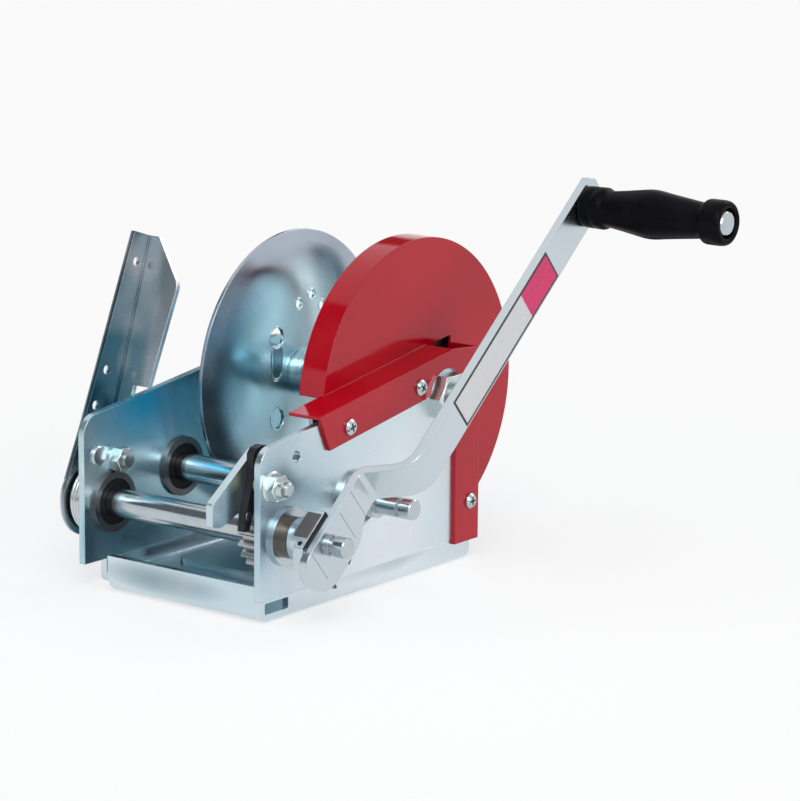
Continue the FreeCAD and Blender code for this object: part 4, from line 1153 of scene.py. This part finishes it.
@dataclass(frozen=True)
class Sticker:
    """Textless two-tone sticker along the outer face of the crank arm."""

    face_x: float = 0.152
    start: float = 0.119
    end: float = 0.2545
    split: float = 0.216
    width: float = 0.0245
    border: float = 0.0017
    lift: float = 0.00012

    def patch(self, name: str, start: float, end: float, inset: float, level: int,
              material: bpy.types.Material) -> None:
        """Make one flat coloured field of the sticker.

        Args:
            name: Name of the piece.
            start: Where it starts along the arm.
            end: Where it ends along the arm.
            inset: How far it stays inside the sticker's edge.
            level: How many sheets high it stands.
            material: Its finish.
        """
        half = self.width / 2 - inset
        base_x = self.face_x + self.lift * (level - 1)
        corners = [on_arm(base_x, along, across) for along, across in (
            (start + inset, -half), (end - inset, -half), (end - inset, half),
            (start + inset, half))]
        edged_mesh(name, prism(corners, (self.lift, 0.0, 0.0)), Body.CRANK,
                   material)

    def build(self) -> None:
        """Make the border and both fields."""
        black = Moulded("sticker_black", (0.02, 0.02, 0.02), (0.03, 0.03, 0.03), rough=0.3).make()
        white = Moulded("sticker_white", (0.50, 0.50, 0.51), (0.46, 0.46, 0.47), rough=0.3).make()
        pink = Moulded("sticker_pink", (0.52, 0.008, 0.10), (0.46, 0.008, 0.09), rough=0.3).make()
        self.patch("sticker_border", self.start, self.end, 0.0, 1, black)
        edge = self.border
        self.patch("sticker_lower_field", self.start, self.split + edge, edge, 2, white)
        self.patch("sticker_upper_field", self.split - edge, self.end, edge, 2, pink)


def dress_nodes(frame: dict, finishes: Finishes) -> None:
    """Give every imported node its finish.

    Args:
        finishes: The winch's finishes.
    """
    dress(frame, finishes.zinc, ("right_side_plate", "pawl_thumb_plate"))
    dress(frame, finishes.zinc_left_shaded, ("left_side_plate",))
    dress(frame, finishes.zinc_base, ("base_plate",))
    dress(frame, finishes.zinc_lever, ("brake_lever",))
    dress(frame, finishes.zinc_drum_shaded, ("drum_flange", "drum_core", "drum_disc"))
    dress(frame, finishes.zinc_bar, ("crank_arm", "crank_hub", "lever_spring", "latch_lever"))
    dress(frame, finishes.steel, (
        "first_shaft", "second_shaft", "first_shaft_ring", "drum_axle", "axle_nut_left",
        "axle_nut_right", "pawl_bolt", "pawl_bolt_nut", "stop_bolt", "stop_bolt_nut",
        "stop_bolt_washer", "plate_rivet", "guard_screw_1", "guard_screw_2", "guard_screw_3",
        "grip_pin", "pawl_rivet", "first_ring_right", "second_ring_right"))
    dress(frame, finishes.gear, ("first_pinion", "second_wheel", "second_pinion", "drum_gear"))
    dress(frame, finishes.red, ("gear_guard",))
    dress(frame, finishes.plastic, ("crank_grip",))
    dress(frame, finishes.black, ("first_bush_left", "second_bush_left"))
    dress(frame, finishes.dark_steel, ("pawl",))
    dress(frame, finishes.bronze, ("first_bush_right", "second_bush_right"))
    dress(frame, finishes.gold, ("pawl_spacer",))
    bare = [name for name, item in frame["nodes"].items() if not item.data.materials]
    LOG.info("nodes without a finish: %s", bare)


def main() -> None:
    """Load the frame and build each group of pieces."""
    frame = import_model()
    Studio().build()
    finishes = Finishes()
    dress_nodes(frame, finishes)
    Handle().build(finishes)
    Fittings(finishes).build()
    Crank(finishes).build()
    Pressings(finishes).build()
    Sticker().build()
    bpy.context.scene.view_settings.view_transform = "Standard"


if __name__ == "__main__":
    logging.basicConfig(level=logging.INFO)
    main()
